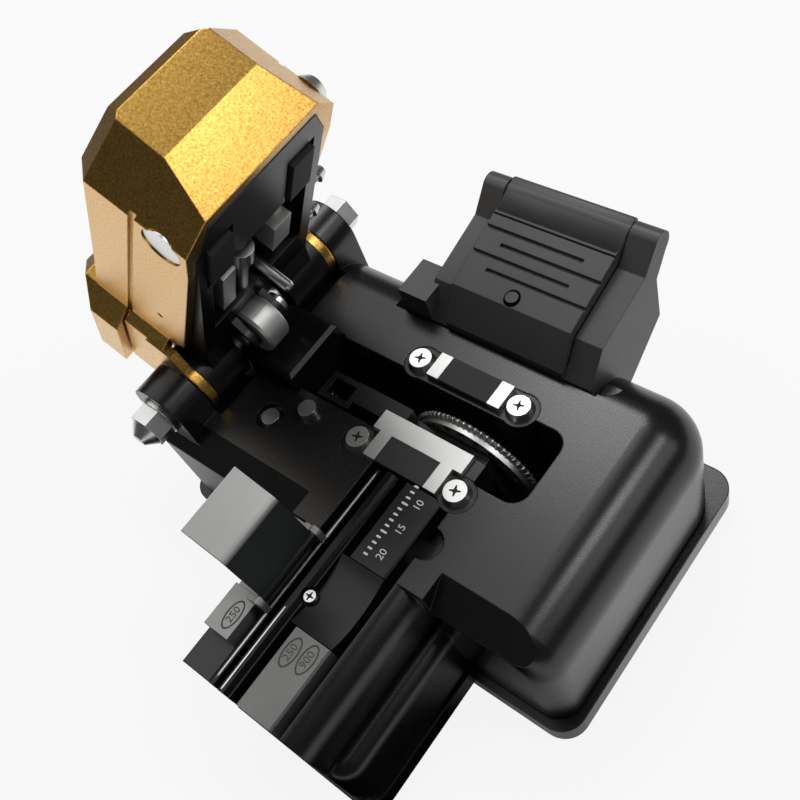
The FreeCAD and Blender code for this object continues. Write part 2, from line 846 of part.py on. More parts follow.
def make_clamp_screws():
    screws = [
        pan_screw(f"clamp_screw_{i}", "z", (x, y), clamp_level(), D.clamp_screw_radius,
                  D.clamp_screw_rise, D.clamp_shank_radius, clamp_level() - D.cavity_top - 0.6)
        for i, (x, y) in enumerate(clamp_screw_spots())
    ]
    return node(fuse("clamp_screw_set", *screws), "clamp_screws")


# --- tray ----------------------------------------------------------------------------------------------


def tray_level():
    """Top of the plates beside the fibre, just under the fibre."""
    return D.fibre_height - D.plate_sink


def channel_floor():
    """Bottom of the tray's channel, under its plates and strips."""
    return tray_level() - D.plate_thick


def rail_level():
    """Top of the outer rail, a little lower than the plates."""
    return channel_floor() + D.rail_rise


def tray_plate(name, left, front, back):
    body = new_body(f"{name}_sheet")
    pad(body, "plate", "z", (channel_floor(), tray_level()),
        rectangle(left, D.plate_right, front, back))
    bevel_edges(body, "right_bevel", D.plate_edge, (D.plate_right, (front + back) / 2, tray_level()))
    return body


def make_tray_plates():
    gap = D.plate_gap
    ruler = tray_plate("ruler_plate", D.plate_left, D.saddle_back + gap, D.ruler_back)
    pocket(ruler, "ear_relief", "z", (channel_floor() - 1, tray_level() + 1),
           circle(D.clamp_ear_x, D.near_ear_y, D.clamp_ear_radius + D.fit_gap))
    node(ruler, "ruler_plate")
    node(tray_plate("guide_plate", D.plate_left, D.tray_front, D.saddle_front - gap), "guide_plate")


def make_saddle():
    """The dished block that a fibre holder's lid presses the fibre into."""
    front, back = D.saddle_front, D.saddle_back
    half = (back - front) / 2
    sag = D.saddle_sag
    dish = Size((half * half + sag * sag) / (sag * 2), f"(({half.text})^2 + {sag.text}^2) / (2 * {sag.text})")
    slab = block("saddle_slab", (D.saddle_left, D.plate_right), (front, back),
                 (channel_floor(), tray_level()))
    roll = rod("saddle_dish", "x", ((front + back) / 2, tray_level() - sag + dish), dish,
               (D.saddle_left - 1, D.plate_right + 1))
    seat = rod("saddle_screw_seat", "z", (D.strip_right, D.tray_screw_y),
               D.tray_screw_radius + 0.2, (tray_level() - 1.5, tray_level() + 1))
    hole = rod("saddle_magnet_hole", "z", (5, (front + back) / 2), 1.5,
               (channel_floor() - 1, channel_floor() + 2))
    node(cut("saddle_solid", slab, roll, seat, hole), "saddle_block")
    magnet = rod("lid_magnet_rod", "z", (5, (front + back) / 2), 1.5,
                 (channel_floor(), channel_floor() + 2))
    node(magnet, "lid_magnet")


def make_groove_strip():
    """The strip with the fibre's V groove, joined by a thin web to the outer rail."""
    groove, high, web = D.strip_groove, tray_level(), channel_floor() + 0.8
    body = new_body("groove_strip_bar")
    pad(body, "strip", "y", (D.tray_front, D.ruler_back), [
        (D.rail_left, channel_floor()),
        (D.strip_right, channel_floor()),
        (D.strip_right, high),
        (groove, high),
        (0, high - groove),
        (-groove, high),
        (D.strip_left, high),
        (D.strip_left, web),
        (D.rail_right, web),
        (D.rail_right, rail_level()),
        (D.rail_left, rail_level()),
    ])
    pocket(body, "screw_seat", "z", (high - 1.5, high + 1),
           circle(D.strip_right, D.tray_screw_y, D.tray_screw_radius + 0.2))
    return node(body, "groove_strip")


def make_tray_screw():
    face = tray_level() - 1.5
    screw = rod("tray_screw_head", "z", (D.strip_right, D.tray_screw_y), D.tray_screw_radius,
                (face, face + 1.2), D.tray_screw_radius * 0.8)
    return node(screw, "tray_screw")


def make_tray_ledge():
    """The plate left of the channel, with the two lugs that hold the lid's pin."""
    body = new_body("tray_ledge_plate")
    back = D.saddle_back + 0.9
    pad(body, "plate", "z", (D.ledge_seat, D.ledge_top - 0.8),
        rectangle(D.tray_left + 0.6, D.ledge_right, D.ledge_front, back))
    pad(body, "raised_end", "z", (D.ledge_seat, D.ledge_top),
        rectangle(D.tray_left + 0.6, D.ledge_right, D.ledge_front, D.lid_front - 0.15))
    radius = D.lid_knuckle_radius
    for name, front, end in (("front", D.lid_front - 1.15, D.lid_front - 0.15),
                             ("back", D.lid_back + 0.15, D.lid_back + 1.15)):
        pad(body, f"{name}_lug_foot", "y", (front, end),
            rectangle(D.ledge_right - 1.2, D.lid_hinge_x + radius, rail_level() + 0.1, D.lid_hinge_z))
        pad(body, f"{name}_lug", "y", (front, end), circle(D.lid_hinge_x, D.lid_hinge_z, radius))
    pocket(body, "pin_bore", "y", (D.lid_front - 2, D.lid_back + 2),
           circle(D.lid_hinge_x, D.lid_hinge_z, D.lid_pin_radius))
    node(body, "tray_ledge")
    pin = rod("lid_pin_rod", "y", (D.lid_hinge_x, D.lid_hinge_z), D.lid_pin_radius,
              (D.lid_front - 1.2, D.lid_back + 1.2))
    node(pin, "lid_hinge_pin")


def turned(point, angle):
    """A point of a side view turned about the origin, in degrees from the first axis to the second."""
    u, w = point
    radians = math.radians(angle)
    return (u * math.cos(radians) - w * math.sin(radians),
            u * math.sin(radians) + w * math.cos(radians))


def make_fibre_lid():
    """A bent plate with a knuckle along its edge, drawn shut about its pin and then swung open."""
    low, high = -0.6, D.lid_thickness - 0.6
    run, tab = D.lid_panel, D.lid_tab
    tip_low = turned((tab, 0), D.lid_tab_angle)
    tip_high = turned((tab, D.lid_thickness), D.lid_tab_angle)
    body = new_body("fibre_lid_sheet")
    pad(body, "panel", "y", (D.lid_front, D.lid_back), [
        (0.2, low), (run, low), (run + tip_low[0], tip_low[1] + low),
        (run + tip_high[0], tip_high[1] + low), (run - 0.35, high), (0.2, high),
    ])
    pad(body, "knuckle", "y", (D.lid_front, D.lid_back), circle(0, 0, D.lid_knuckle_radius - 0.1))
    pocket(body, "pin_bore", "y", (D.lid_front - 1, D.lid_back + 1),
           circle(0, 0, D.lid_pin_radius + D.fit_gap))
    body.Placement = Placement(Vector(), Rotation(Vector(0, 1, 0), -float(D.lid_open_angle)))
    place(body, D.lid_hinge_x, 0, D.lid_hinge_z)
    return node(body, "fibre_lid")


# --- deck ----------------------------------------------------------------------------------------------


def make_deck_pieces():
    pin = rod("stop_pin_rod", "z", (D.stop_pin_x, D.stop_pin_y), D.stop_pin_radius,
              (D.deck_top - 4, D.fibre_height + 0.3))
    node(pin, "stop_pin")
    magnet = rod("latch_magnet_rod", "z", (D.magnet_x, D.magnet_y), D.magnet_radius,
                 (D.deck_top - 4, D.deck_top - 0.1))
    node(magnet, "latch_magnet")


def make_axle():
    front, back = D.near_boss_front, D.far_boss_back
    spot = (D.hinge_x, D.hinge_z)
    thick = D.washer_thickness
    tip = D.nut_length + thick
    node(rod("lever_axle_rod", "y", spot, D.axle_radius, (front - tip, back + tip)), "lever_axle")
    cap = rod("acorn_cap", "y", spot, D.acorn_tip_radius, (front - tip - D.acorn_length, front - tip),
              D.acorn_root_radius)
    inner = D.axle_radius
    node(fuse("axle_washer_pair",
              tube("near_washer", "y", spot, D.washer_radius, inner, (front - thick, front)),
              tube("far_washer", "y", spot, D.washer_radius, inner, (back, back + thick))),
         "axle_washers")
    nuts = []
    for name, low in (("near", front - thick - D.nut_length), ("far", back + thick)):
        prism = document.addObject("Part::Prism", f"{name}_nut_hex")
        prism.Polygon = 6
        prism.Placement = Placement(Vector(), TURNS["y"])
        bind(prism, "Circumradius", D.nut_radius)
        bind(prism, "Height", D.nut_length)
        place(prism, D.hinge_x, low, D.hinge_z)
        nuts.append(cut(f"{name}_nut", prism,
                        rod(f"{name}_nut_bore", "y", spot, inner, (low - 1, low + D.nut_length + 1))))
    node(fuse("axle_nut_pair", cap, *nuts), "axle_nuts")
    node(tube("lever_spring_coil", "y", spot, D.axle_radius + 1.9, D.axle_radius + 0.6,
              (D.near_barrel_back + 0.5, D.far_barrel_front - 0.5)), "lever_spring")


def make_push_block():
    body = new_body("push_block_solid")
    low, high = D.block_top - D.block_height, D.block_top
    pad(body, "block", "z", (low, high),
        rectangle(D.block_left, D.block_right, D.block_near, D.block_far))
    middle_x, middle_y = (D.block_left + D.block_right) / 2, (D.block_near + D.block_far) / 2
    bevel_edges(body, "top_bevel", D.block_bevel,
                (D.block_left, middle_y, high), (D.block_right, middle_y, high),
                (middle_x, D.block_near, high), (middle_x, D.block_far, high))
    pocket(body, "spring_bore", "z", (low - 1, high - D.block_roof),
           circle(middle_x, middle_y, D.block_bore_radius))
    node(body, "push_block")
    node(tube("block_spring_coil", "z", (middle_x, middle_y), D.block_spring_radius,
              D.block_spring_radius - D.spring_wire, (D.block_well_floor, high - D.block_roof)),
         "block_spring")


# --- blade ---------------------------------------------------------------------------------------------


def ring_pattern(body, feature, count, name):
    pattern = body.newObject("PartDesign::PolarPattern", name)
    pattern.Originals = [feature]
    pattern.Axis = (feature.Profile[0], ["N_Axis"])
    pattern.Angle = 360
    bind(pattern, "Occurrences", count)
    body.Tip = pattern
    return pattern


def make_blade_wheel():
    """Turned about its own origin, then moved to the carriage's axle."""
    half, rim, bevel = D.wheel_half_thickness, D.wheel_radius, D.wheel_bevel
    body = new_body("blade_wheel_disc")
    drawing = sketch(body, "half_section", "XY_Plane", Size(0.0), [[
        (D.wheel_bore, -half), (rim - bevel, -half), (rim, 0), (rim - bevel, half), (D.wheel_bore, half),
    ]])
    disc = body.newObject("PartDesign::Revolution", "disc")
    disc.Profile = drawing
    disc.ReferenceAxis = (drawing, ["V_Axis"])
    disc.Angle = 360
    body.Tip = disc
    depth = D.tooth_depth
    tooth = pocket(body, "tooth_gap", "y", (-half - 1, half + 1),
                   [(-depth, rim + 1), (0, rim - depth * 1.6), (depth, rim + 1)])
    ring_pattern(body, tooth, D.tooth_count, "teeth")
    place(body, D.wheel_x, 0, D.wheel_z)
    node(body, "blade_wheel")
    ring = new_body("index_ring_disc")
    pad(ring, "disc", "y", (-half - D.index_thickness, -half),
        circle(0, 0, D.index_radius), circle(0, 0, D.wheel_bore))
    hole = pocket(ring, "index_hole", "y", (-half - D.index_thickness - 1, -half + 1),
                  circle(0, D.index_hole_circle, D.index_hole_radius))
    ring_pattern(ring, hole, D.index_hole_count, "index_holes")
    place(ring, D.wheel_x, 0, D.wheel_z)
    node(ring, "index_ring")


def make_hub():
    half = D.wheel_half_thickness
    spot = (D.wheel_x, D.wheel_z)
    head = half + D.fit_gap
    node(rod("blade_axle_rod", "y", spot, D.wheel_bore - D.fit_gap, (D.carriage_near, head)),
         "blade_axle")
    node(rod("hub_screw_head", "y", spot, D.hub_screw_radius, (head, head + D.hub_screw_head),
             D.hub_screw_radius * 0.8), "hub_screw")


def make_carriage():
    """Upright plate that holds the wheel, its slider on the rail, and the arm that ends in an open hook."""
    near, far, top = D.carriage_near, D.carriage_far, D.carriage_top
    body = new_body("blade_carriage_solid")
    pad(body, "upright", "y", (near, far), [
        (D.slider_left, D.carriage_bottom), (D.slider_right, D.carriage_bottom),
        (D.slider_right, D.wheel_z), (D.wheel_x + 5, top), (D.slider_left, top),
    ])
    pad(body, "slider", "z", (D.carriage_bottom, D.slider_top),
        rectangle(D.slider_left, D.slider_right, D.slider_front, far))
    rail_top = D.casting_bottom + D.rail_height
    gap = D.fit_gap
    pocket(body, "rail_slot", "x", (D.slider_left - 1, D.slider_right + 1),
           rectangle(D.rail_near - gap, D.rail_far + gap, D.carriage_bottom - 1, rail_top + gap))
    pad(body, "arm", "z", (D.hook_bottom - 0.6, D.hook_top),
        rectangle(D.arm_left, D.arm_right, D.arm_near, far))
    pad(body, "arm_root", "z", (D.slider_top, D.hook_top),
        rectangle(D.arm_right - 3, D.slider_left + 1, near, far))
    hook_right = D.arm_left + 1
    pad(body, "hook", "z", (D.hook_bottom, D.hook_top),
        rectangle(D.hook_left, hook_right, D.hook_near, D.hook_far))
    wall = D.hook_wall
    pocket(body, "hook_eye", "z", (D.hook_bottom - 1, D.hook_top + 1),
           rectangle(D.hook_left + wall, hook_right - wall, D.hook_near + wall, D.hook_far - wall))
    pocket(body, "axle_hole", "y", (near - 1, far + 1),
           circle(D.wheel_x, D.wheel_z, D.wheel_bore - gap))
    spring_z = (rail_top + D.slider_top) / 2
    spring_y = (D.slider_front + D.rail_far) / 2
    pocket(body, "spring_bore", "x", (D.slider_left - 1, D.return_spring_end + 5),
           circle(spring_y, spring_z, D.return_spring_radius - 0.3))
    node(body, "blade_carriage")
    coil = D.return_spring_radius - 0.4
    node(tube("carriage_spring_coil", "x", (spring_y, spring_z), coil, coil - D.spring_wire * 0.8,
              (D.trench_left, D.return_spring_end + 5)), "carriage_spring")


def make_rail():
    rail = block("carriage_rail_bar", (D.trench_left + 0.5, D.trench_right - 0.5),
                 (D.rail_near, D.rail_far), (D.casting_bottom, D.casting_bottom + D.rail_height))
    node(rail, "carriage_rail")


# --- lever, drawn shut about its hinge and then swung open -----------------------------------------------


def swing_open(thing):
    thing.Placement = Placement(Vector(), Rotation(Vector(0, 1, 0), -float(D.lever_open_angle)))
    place(thing, D.hinge_x, 0, D.hinge_z)
    return thing


def frame_plan(grow):
    middle, half = D.lever_middle, D.cover_half - D.cover_wall - D.frame_gap + grow
    front = D.frame_front_u + grow
    corner = D.frame_front_u - 6
    tip = half - 2.4
    root = D.frame_root_u
    return [
        (root, middle - half), (corner, middle - half), (front, middle - tip),
        (front, middle + tip), (corner, middle + half), (root, middle + half),
    ]


def make_lever_cover():
    middle, half = D.lever_middle, D.cover_half
    near, far = middle - half, middle + half
    back, root = D.cover_back_u, D.flank_root_w
    body = new_body("lever_cover_shell")
    pad(body, "flanks", "y", (near, far), [
        (back, root),
        (D.collar_front - 4, root),
        (D.flank_heel_u, D.flank_heel_w),
        (D.flank_bend_u, D.nose_low_w),
        (D.nose_low_u, D.nose_low_w),
        (D.nose_bend_u, D.nose_bend_w),
        (D.nose_top_u, D.nose_top_w),
        (D.roof_front_u, D.roof_front_w),
        (back, D.roof_back_w),
    ])
    start, tip = D.nose_bevel_start, D.nose_bevel_half
    slope = (half - tip) / (D.nose_bend_u - start)
    end = D.nose_bend_u + 2
    narrow = half - slope * (end - start)
    level = (D.nose_low_w - 1, D.roof_back_w + 1)
    pocket(body, "near_bevel", "z", level,
           [(start, near), (end, middle - narrow), (end, near - 1), (start, near - 1)])
    pocket(body, "far_bevel", "z", level,
           [(start, far), (end, middle + narrow), (end, far + 1), (start, far + 1)])
    mid_u = (back + D.roof_front_u) / 2
    mid_w = (D.roof_front_w + D.roof_back_w) / 2
    bevel_u = (start + D.roof_front_u) / 2
    bevel_y = half - slope * (D.roof_front_u - start) / 2
    bevel_edges(body, "roof_edges", D.roof_chamfer,
                (mid_u, near, mid_w), (mid_u, far, mid_w),
                (bevel_u, middle - bevel_y, D.roof_front_w), (bevel_u, middle + bevel_y, D.roof_front_w))
    add_collar(body, near, far, slope)
    cut_cover(body, near, far)
    swing_open(body)
    return node(body, "lever_cover")


def add_collar(body, near, far, slope):
    """The thicker root of the cover: a low band on each flank, a higher one over the roof, and the rings."""
    back, front, root = D.cover_back_u, D.collar_front, D.flank_root_w
    low_step = D.collar_low_step
    run = low_step / slope
    split_low = D.collar_split_w - D.collar_split_gap / 2
    split_high = D.collar_split_w + D.collar_split_gap / 2
    for name, flank, out in (("near", near, -1), ("far", far, 1)):
        for part, tail, level in (("band", back, (root, split_low)),
                                  ("toe", front - 4, (D.collar_low_w, root + 0.1))):
            pad(body, f"{name}_low_{part}", "z", level, [
                (tail, flank - out * 0.5), (front, flank - out * 0.5), (front, flank),
                (front - run, flank + low_step * out), (tail, flank + low_step * out),
            ])
    step, top, slant = D.collar_high_step, D.collar_top_w, D.collar_chamfer
    pad(body, "high_band", "x", (back, front), [
        (near - step, split_high), (near - step, top - slant), (near - step + slant, top),
        (far + step - slant, top), (far + step, top - slant), (far + step, split_high),
    ])
    run = (step + 1) / slope
    for name, flank, out in (("near", near, -1), ("far", far, 1)):
        edge = flank + (step + 1) * out
        pocket(body, f"{name}_high_bevel", "z", (split_high - 0.1, top + 1),
               [(front, flank), (front - run, edge), (front + 1, edge), (front + 1, flank)])
    lip = D.roof_front_w + (D.roof_back_w - D.roof_front_w) * 0.7
    pocket(body, "top_bevel", "y", (near - step - 1, far + step + 1),
           [(front, lip), (front - (top + 1 - lip) / slope, top + 1), (front + 1, top + 1), (front + 1, lip)])
    thick = D.ring_thickness
    for name, face in (("near", D.near_barrel_front - thick), ("far", D.far_barrel_back)):
        pad(body, f"{name}_ear", "y", (face, face + thick), [
            (0, -D.boss_radius + 0.6), (front - 2, D.collar_low_w - 1.6), (front - 2, root + 0.6),
            (-D.boss_radius + 0.1, root + 0.6), (-D.boss_radius + 0.1, 0),
        ])
        pad(body, f"{name}_ring", "y", (face, face + thick), circle(0, 0, D.boss_radius))


def cut_cover(body, near, far):
    """The frame's seat, the hollow above it, the grooves along the flanks and the screws' seats."""
    middle = D.lever_middle
    inner = D.cover_half - D.cover_wall
    seat = (D.nose_low_w - 1, D.frame_top_w + D.frame_gap)
    pocket(body, "frame_seat", "z", seat, frame_plan(D.frame_gap))
    pocket(body, "root_opening", "z", seat,
           rectangle(D.cover_back_u - 1, D.frame_root_u + 0.1, middle - inner, middle + inner))
    pocket(body, "hollow", "z", (D.frame_top_w, D.cover_hollow_top),
           rectangle(D.cover_back_u + 3, D.frame_front_u - 6, middle - inner, middle + inner))
    width, deep = D.flank_groove_width, D.flank_groove_depth
    low, high = D.flank_groove_front_w, D.collar_split_w - D.flank_groove_width / 2
    front = D.nose_bevel_start + 1
    groove = [(front, low), (front, low + width), (D.collar_front - 1, high + width),
              (D.collar_front - 1, high)]
    pocket(body, "near_groove", "y", (near - 1, near + deep), groove)
    pocket(body, "far_groove", "y", (far - deep, far + 1), groove)
    spot = (D.cover_screw_u, D.cover_screw_w)
    pocket(body, "near_screw_seat", "y", (near - 1, near + 1), circle(*spot, D.cover_screw_radius + D.fit_gap))
    pocket(body, "cover_screw_holes", "y", (near - 1, far + 1), circle(*spot, D.cover_shank_radius + D.fit_gap))
    pocket(body, "flank_hole", "y", (near - 1, near + 1),
           circle(D.flank_hole_u, D.flank_hole_w, D.flank_hole_radius))
    pocket(body, "side_screw_holes", "y", (far - D.cover_wall - 1, far + 1),
           *[circle(u, D.side_screw_w, D.side_screw_radius * 0.6 + D.fit_gap) for u in side_screw_spots()])
    pocket(body, "axle_bore", "y", (near - 5, far + 5), circle(0, 0, D.axle_radius + D.fit_gap))


def side_screw_spots():
    return (D.side_screw_front_u, D.side_screw_back_u)


def make_lever_screws():
    """The screws that hold the cover to the frame, and two small ones in the far side of the frame."""
    middle, half = D.lever_middle, D.cover_half
    near, far = middle - half, middle + half
    spot, radius, shank = (D.cover_screw_u, D.cover_screw_w), D.cover_screw_radius, D.cover_shank_radius
    deep = D.cover_wall + D.frame_gap + 1.1
    node(swing_open(fuse(
        "cover_screw_pair",
        rod("near_cover_head", "y", spot, radius, (near + 0.2, near + 1)),
        rod("near_cover_shank", "y", spot, shank, (near + 0.9, near + deep)),
        rod("far_cover_head", "y", spot, radius, (far, far + D.cover_screw_dome), radius * 0.6),
        rod("far_cover_shank", "y", spot, shank, (far - deep, far + 0.1)),
    )), "cover_screws")
    radius = D.side_screw_radius
    screws = []
    for word, u in zip(("front", "back"), side_screw_spots()):
        spot = (u, D.side_screw_w)
        screws.append(rod(f"side_{word}_head", "y", spot, radius, (far, far + D.side_screw_rise), radius * 0.6))
        screws.append(rod(f"side_{word}_shank", "y", spot, radius * 0.6, (far - D.cover_wall - 1.4, far + 0.1)))
    node(swing_open(fuse("side_screw_pair", *screws)), "lever_screws")


def make_lever_frame():
    middle = D.lever_middle
    low, high = D.frame_low_w, D.frame_top_w
    roof = high - D.frame_roof
    body = new_body("lever_frame_casting")
    pad(body, "deck", "z", (low, high), frame_plan(0))
    window = D.frame_window_half
    pocket(body, "window", "z", (low - 1, roof),
           rectangle(D.frame_window_back, D.frame_window_front, middle - window, middle + window))
    gap = D.holder_gap
    reach, side = D.holder_half_length + gap, D.holder_flange / 2 + gap
    for name, front, back in (("near", D.near_pad_front, D.near_pad_back),
                              ("far", D.far_pad_front, D.far_pad_back)):
        pocket(body, f"{name}_pad_well", "z", (low - 1, roof),
               rectangle(D.pad_u - reach, D.pad_u + reach, front - side, back + side))
    inner = D.cover_half - D.cover_wall - D.frame_gap
    arm = [(0, -4.4), (5, -2.6), (9, low), (12, low), (12, high), (5, high - 1.2), (0, 5.4)]
    pad(body, "near_arm", "y", (middle - inner, D.near_barrel_back), arm)
    pad(body, "far_arm", "y", (D.far_barrel_front, middle + inner), arm)
    for name, front, back in (("near", D.near_barrel_front, D.near_barrel_back),
                              ("far", D.far_barrel_front, D.far_barrel_back)):
        pad(body, f"{name}_barrel", "y", (front, back), circle(0, 0, D.barrel_radius))
    cheek = [
        (D.roller_u - D.cheek_radius, D.roller_w), (D.roller_u + D.cheek_radius, D.roller_w),
        (12, low + 1), (12, high - 2), (7.5, high - 2), (7.0, low + 1),
    ]
    thick, gap = D.cheek_thickness, D.cheek_gap
    for name, front in (("near", D.roller_near - gap - thick), ("far", D.roller_far + gap)):
        pad(body, f"{name}_cheek", "y", (front, front + thick), cheek)
        pad(body, f"{name}_cheek_eye", "y", (front, front + thick),
            circle(D.roller_u, D.roller_w, D.cheek_radius))
    pocket(body, "roller_relief", "y", (D.roller_near - gap, D.roller_far + gap),
           circle(D.roller_u, D.roller_w, D.roller_radius + gap))
    pocket(body, "roller_pin_bore", "y", (D.roller_near - 3, D.roller_far + 3),
           circle(D.roller_u, D.roller_w, D.roller_pin_radius))
    pocket(body, "bush_bore", "y", (D.near_barrel_front - 1, D.far_barrel_back + 1),
           circle(0, 0, D.axle_radius + 1))
    pocket(body, "adjust_bore", "x", (D.adjust_tip, D.frame_window_back + 0.1),
           circle(D.adjust_y, D.adjust_w, D.adjust_head_radius * 0.6))
    pocket(body, "peg_bore", "z", (roof - 0.1, roof + 1.5), circle(D.peg_u, D.peg_y, D.peg_radius))
    near, far = middle - D.cover_half, middle + D.cover_half
    shank = D.cover_shank_radius + D.fit_gap
    deep = D.cover_wall + D.frame_gap + 1.1
    for name, span in (("near", (near, near + deep)), ("far", (far - deep, far))):
        pocket(body, f"{name}_cover_hole", "y", span, circle(D.cover_screw_u, D.cover_screw_w, shank))
    pocket(body, "side_screw_holes", "y", (far - D.cover_wall - 1.4, far),
           *[circle(u, D.side_screw_w, D.side_screw_radius * 0.6) for u in side_screw_spots()])
    swing_open(body)
    return node(body, "lever_frame")


def make_window_pieces():
    """The adjusting screw and the peg seen in the frame's window."""
    head, spot = D.adjust_head_radius, (D.adjust_y, D.adjust_w)
    node(swing_open(fuse(
        "adjust_screw_body",
        rod("adjust_shank", "x", spot, head * 0.6, (D.adjust_tip, D.adjust_head_back + 0.1)),
        rod("adjust_head", "x", spot, head, (D.adjust_head_back, D.adjust_head_front)),
    )), "adjust_screw")
    roof = D.frame_top_w - D.frame_roof
    spot, radius, end = (D.peg_u, D.peg_y), D.peg_radius, D.peg_end_w
    node(swing_open(fuse(
        "lever_peg_body",
        rod("lever_peg_tip", "z", spot, radius * 0.7, (end, end + 0.5), radius),
        rod("lever_peg_rod", "z", spot, radius, (end + 0.5, roof + 1.5)),
    )), "lever_peg")


def make_barrel_bushes():
    outer, inner = D.axle_radius + 1, D.axle_radius + D.fit_gap
    bushes = fuse(
        "barrel_bush_pair",
        tube("near_bush", "y", (0, 0), outer, inner, (D.near_barrel_front, D.near_barrel_back)),
        tube("far_bush", "y", (0, 0), outer, inner, (D.far_barrel_front, D.far_barrel_back)),
    )
    node(swing_open(bushes), "barrel_bushes")


def make_roller():
    spot = (D.roller_u, D.roller_w)
    gap, thick = D.cheek_gap, D.cheek_thickness
    pin = fuse(
        "roller_pin_rod",
        rod("roller_pin_shank", "y", spot, D.roller_pin_radius,
            (D.roller_near - gap - thick - 0.2, D.roller_far + gap + thick + 0.5)),
        rod("roller_pin_head", "y", spot, D.roller_pin_radius + 0.6,
            (D.roller_far + gap + thick, D.roller_far + gap + thick + 1)),
    )
    node(swing_open(pin), "roller_pin")
    wheel = new_body("press_roller_wheel")
    pad(wheel, "roller", "y", (D.roller_near, D.roller_far),
        circle(*spot, D.roller_radius), circle(*spot, D.roller_pin_radius + D.fit_gap))
    bevel_edges(wheel, "rims", Size(0.4), (D.roller_u, D.roller_near, D.roller_w + D.roller_radius),
                (D.roller_u, D.roller_far, D.roller_w + D.roller_radius))
    swing_open(wheel)
    node(wheel, "press_roller")


def make_upper_pad(name, front, back, heel):
    """A holder that slides in its well in the frame, with its pad below and its spring above."""
    low = D.pad_bottom_w + D.pad_thickness
    flange = D.holder_flange
    high = low + D.holder_height
    holder = new_body(f"upper_{name}_holder_solid")
    pad(holder, "head", "z", (low, high),
        rectangle(D.pad_u - D.holder_half_length, D.pad_u + D.holder_half_length,
                  front - flange / 2, back + flange / 2))
    heel_back, heel_front, heel_low, heel_high = heel
    pad(holder, "heel", "z", (D.frame_low_w, high), rectangle(heel_back, heel_front, heel_low, heel_high))
    overlap = (heel_low, heel_low + 1.6) if name == "near" else (heel_high - 1.6, heel_high)
    pad(holder, "tail", "z", (low + 0.8, high), rectangle(heel_front - 1, D.pad_u, *overlap))
    spot = (D.pad_u, (front + back) / 2)
    pocket(holder, "spring_bore", "z", (low + 1, high + 1), circle(*spot, D.pad_spring_radius + 0.3))
    swing_open(holder)
    node(holder, f"upper_{name}_holder")
    pad_body = new_body(f"upper_{name}_pad_rubber")
    pad(pad_body, "pad", "z", (D.pad_bottom_w, low),
        rectangle(D.pad_u - D.pad_half_length, D.pad_u + D.pad_half_length, front, back))
    swing_open(pad_body)
    node(pad_body, f"upper_{name}_pad")


def make_pad_springs():
    low = D.pad_bottom_w + D.pad_thickness + 1.9
    roof = D.frame_top_w - D.frame_roof
    springs = [
        tube(f"{name}_pad_spring", "z", (D.pad_u, (front + back) / 2), D.pad_spring_radius,
             D.pad_spring_radius - 0.5, (low, roof))
        for name, front, back in (("near", D.near_pad_front, D.near_pad_back),
                                  ("far", D.far_pad_front, D.far_pad_back))
    ]
    node(swing_open(fuse("pad_spring_pair", *springs)), "pad_springs")


# --- bin -----------------------------------------------------------------------------------------------


def make_bin_box():
    wall = D.bin_wall
    body = new_body("bin_box_shell")
    pad(body, "shell", "x", (D.bin_left, D.bin_right), [
        (D.bin_front, D.bin_floor), (D.bin_toe_y, D.bin_floor), (D.bin_back, D.bin_floor + D.bin_heel_rise),
        (D.bin_back, D.bin_back_top), (D.bin_knee_y, D.bin_knee_top), (D.bin_front, D.bin_front_top),
    ])
    pad(body, "tab", "z", (D.bin_tab_top - D.bin_tab_height, D.bin_tab_top),
        rectangle(D.bin_tab_left, D.bin_left + 1, D.bin_front, D.bin_tab_back))
    pocket(body, "bay", "x", (D.bin_left + wall, D.bin_right - wall), [
        (D.bin_front + wall, D.bin_floor + wall), (D.bin_toe_y, D.bin_floor + wall),
        (D.bin_back - wall, D.bin_floor + D.bin_heel_rise + wall / 2), (D.bin_back - wall, D.bin_knee_top - 1),
        (D.bin_knee_y, D.bin_knee_top - 3), (D.bin_front + wall, D.bin_front_top - 3),
    ])
    pocket(body, "mouth", "x", (D.bin_lid_left - 0.1, D.bin_lid_right + 0.1), [
        (D.bin_front + wall, D.bin_front_top - 4), (D.bin_back - wall, D.bin_knee_top - 2),
        (D.bin_back - wall, D.bin_back_top + 2), (D.bin_front + wall, D.bin_back_top + 2),
    ])
    for name, left, right in (("left", D.bin_left, D.bin_lid_left - 0.2),
                              ("right", D.bin_lid_right + 0.2, D.bin_right)):
        pad(body, f"{name}_knuckle", "x", (left, right),
            circle(D.bin_hinge_y, D.bin_hinge_z, D.bin_knuckle_radius))
        pad(body, f"{name}_knuckle_foot", "x", (left, right), [
            (D.bin_back - 2, D.bin_back_top - 3), (D.bin_back, D.bin_back_top - 4),
            (D.bin_hinge_y + 1.9, D.bin_hinge_z - 0.6), (D.bin_hinge_y - 1.5, D.bin_hinge_z + 1.3),
            (D.bin_back - 3, D.bin_back_top - 0.8),
        ])
    pocket(body, "pin_bore", "x", (D.bin_left - 1, D.bin_right + 1),
           circle(D.bin_hinge_y, D.bin_hinge_z, D.bin_pin_radius))
    return node(body, "bin_box")


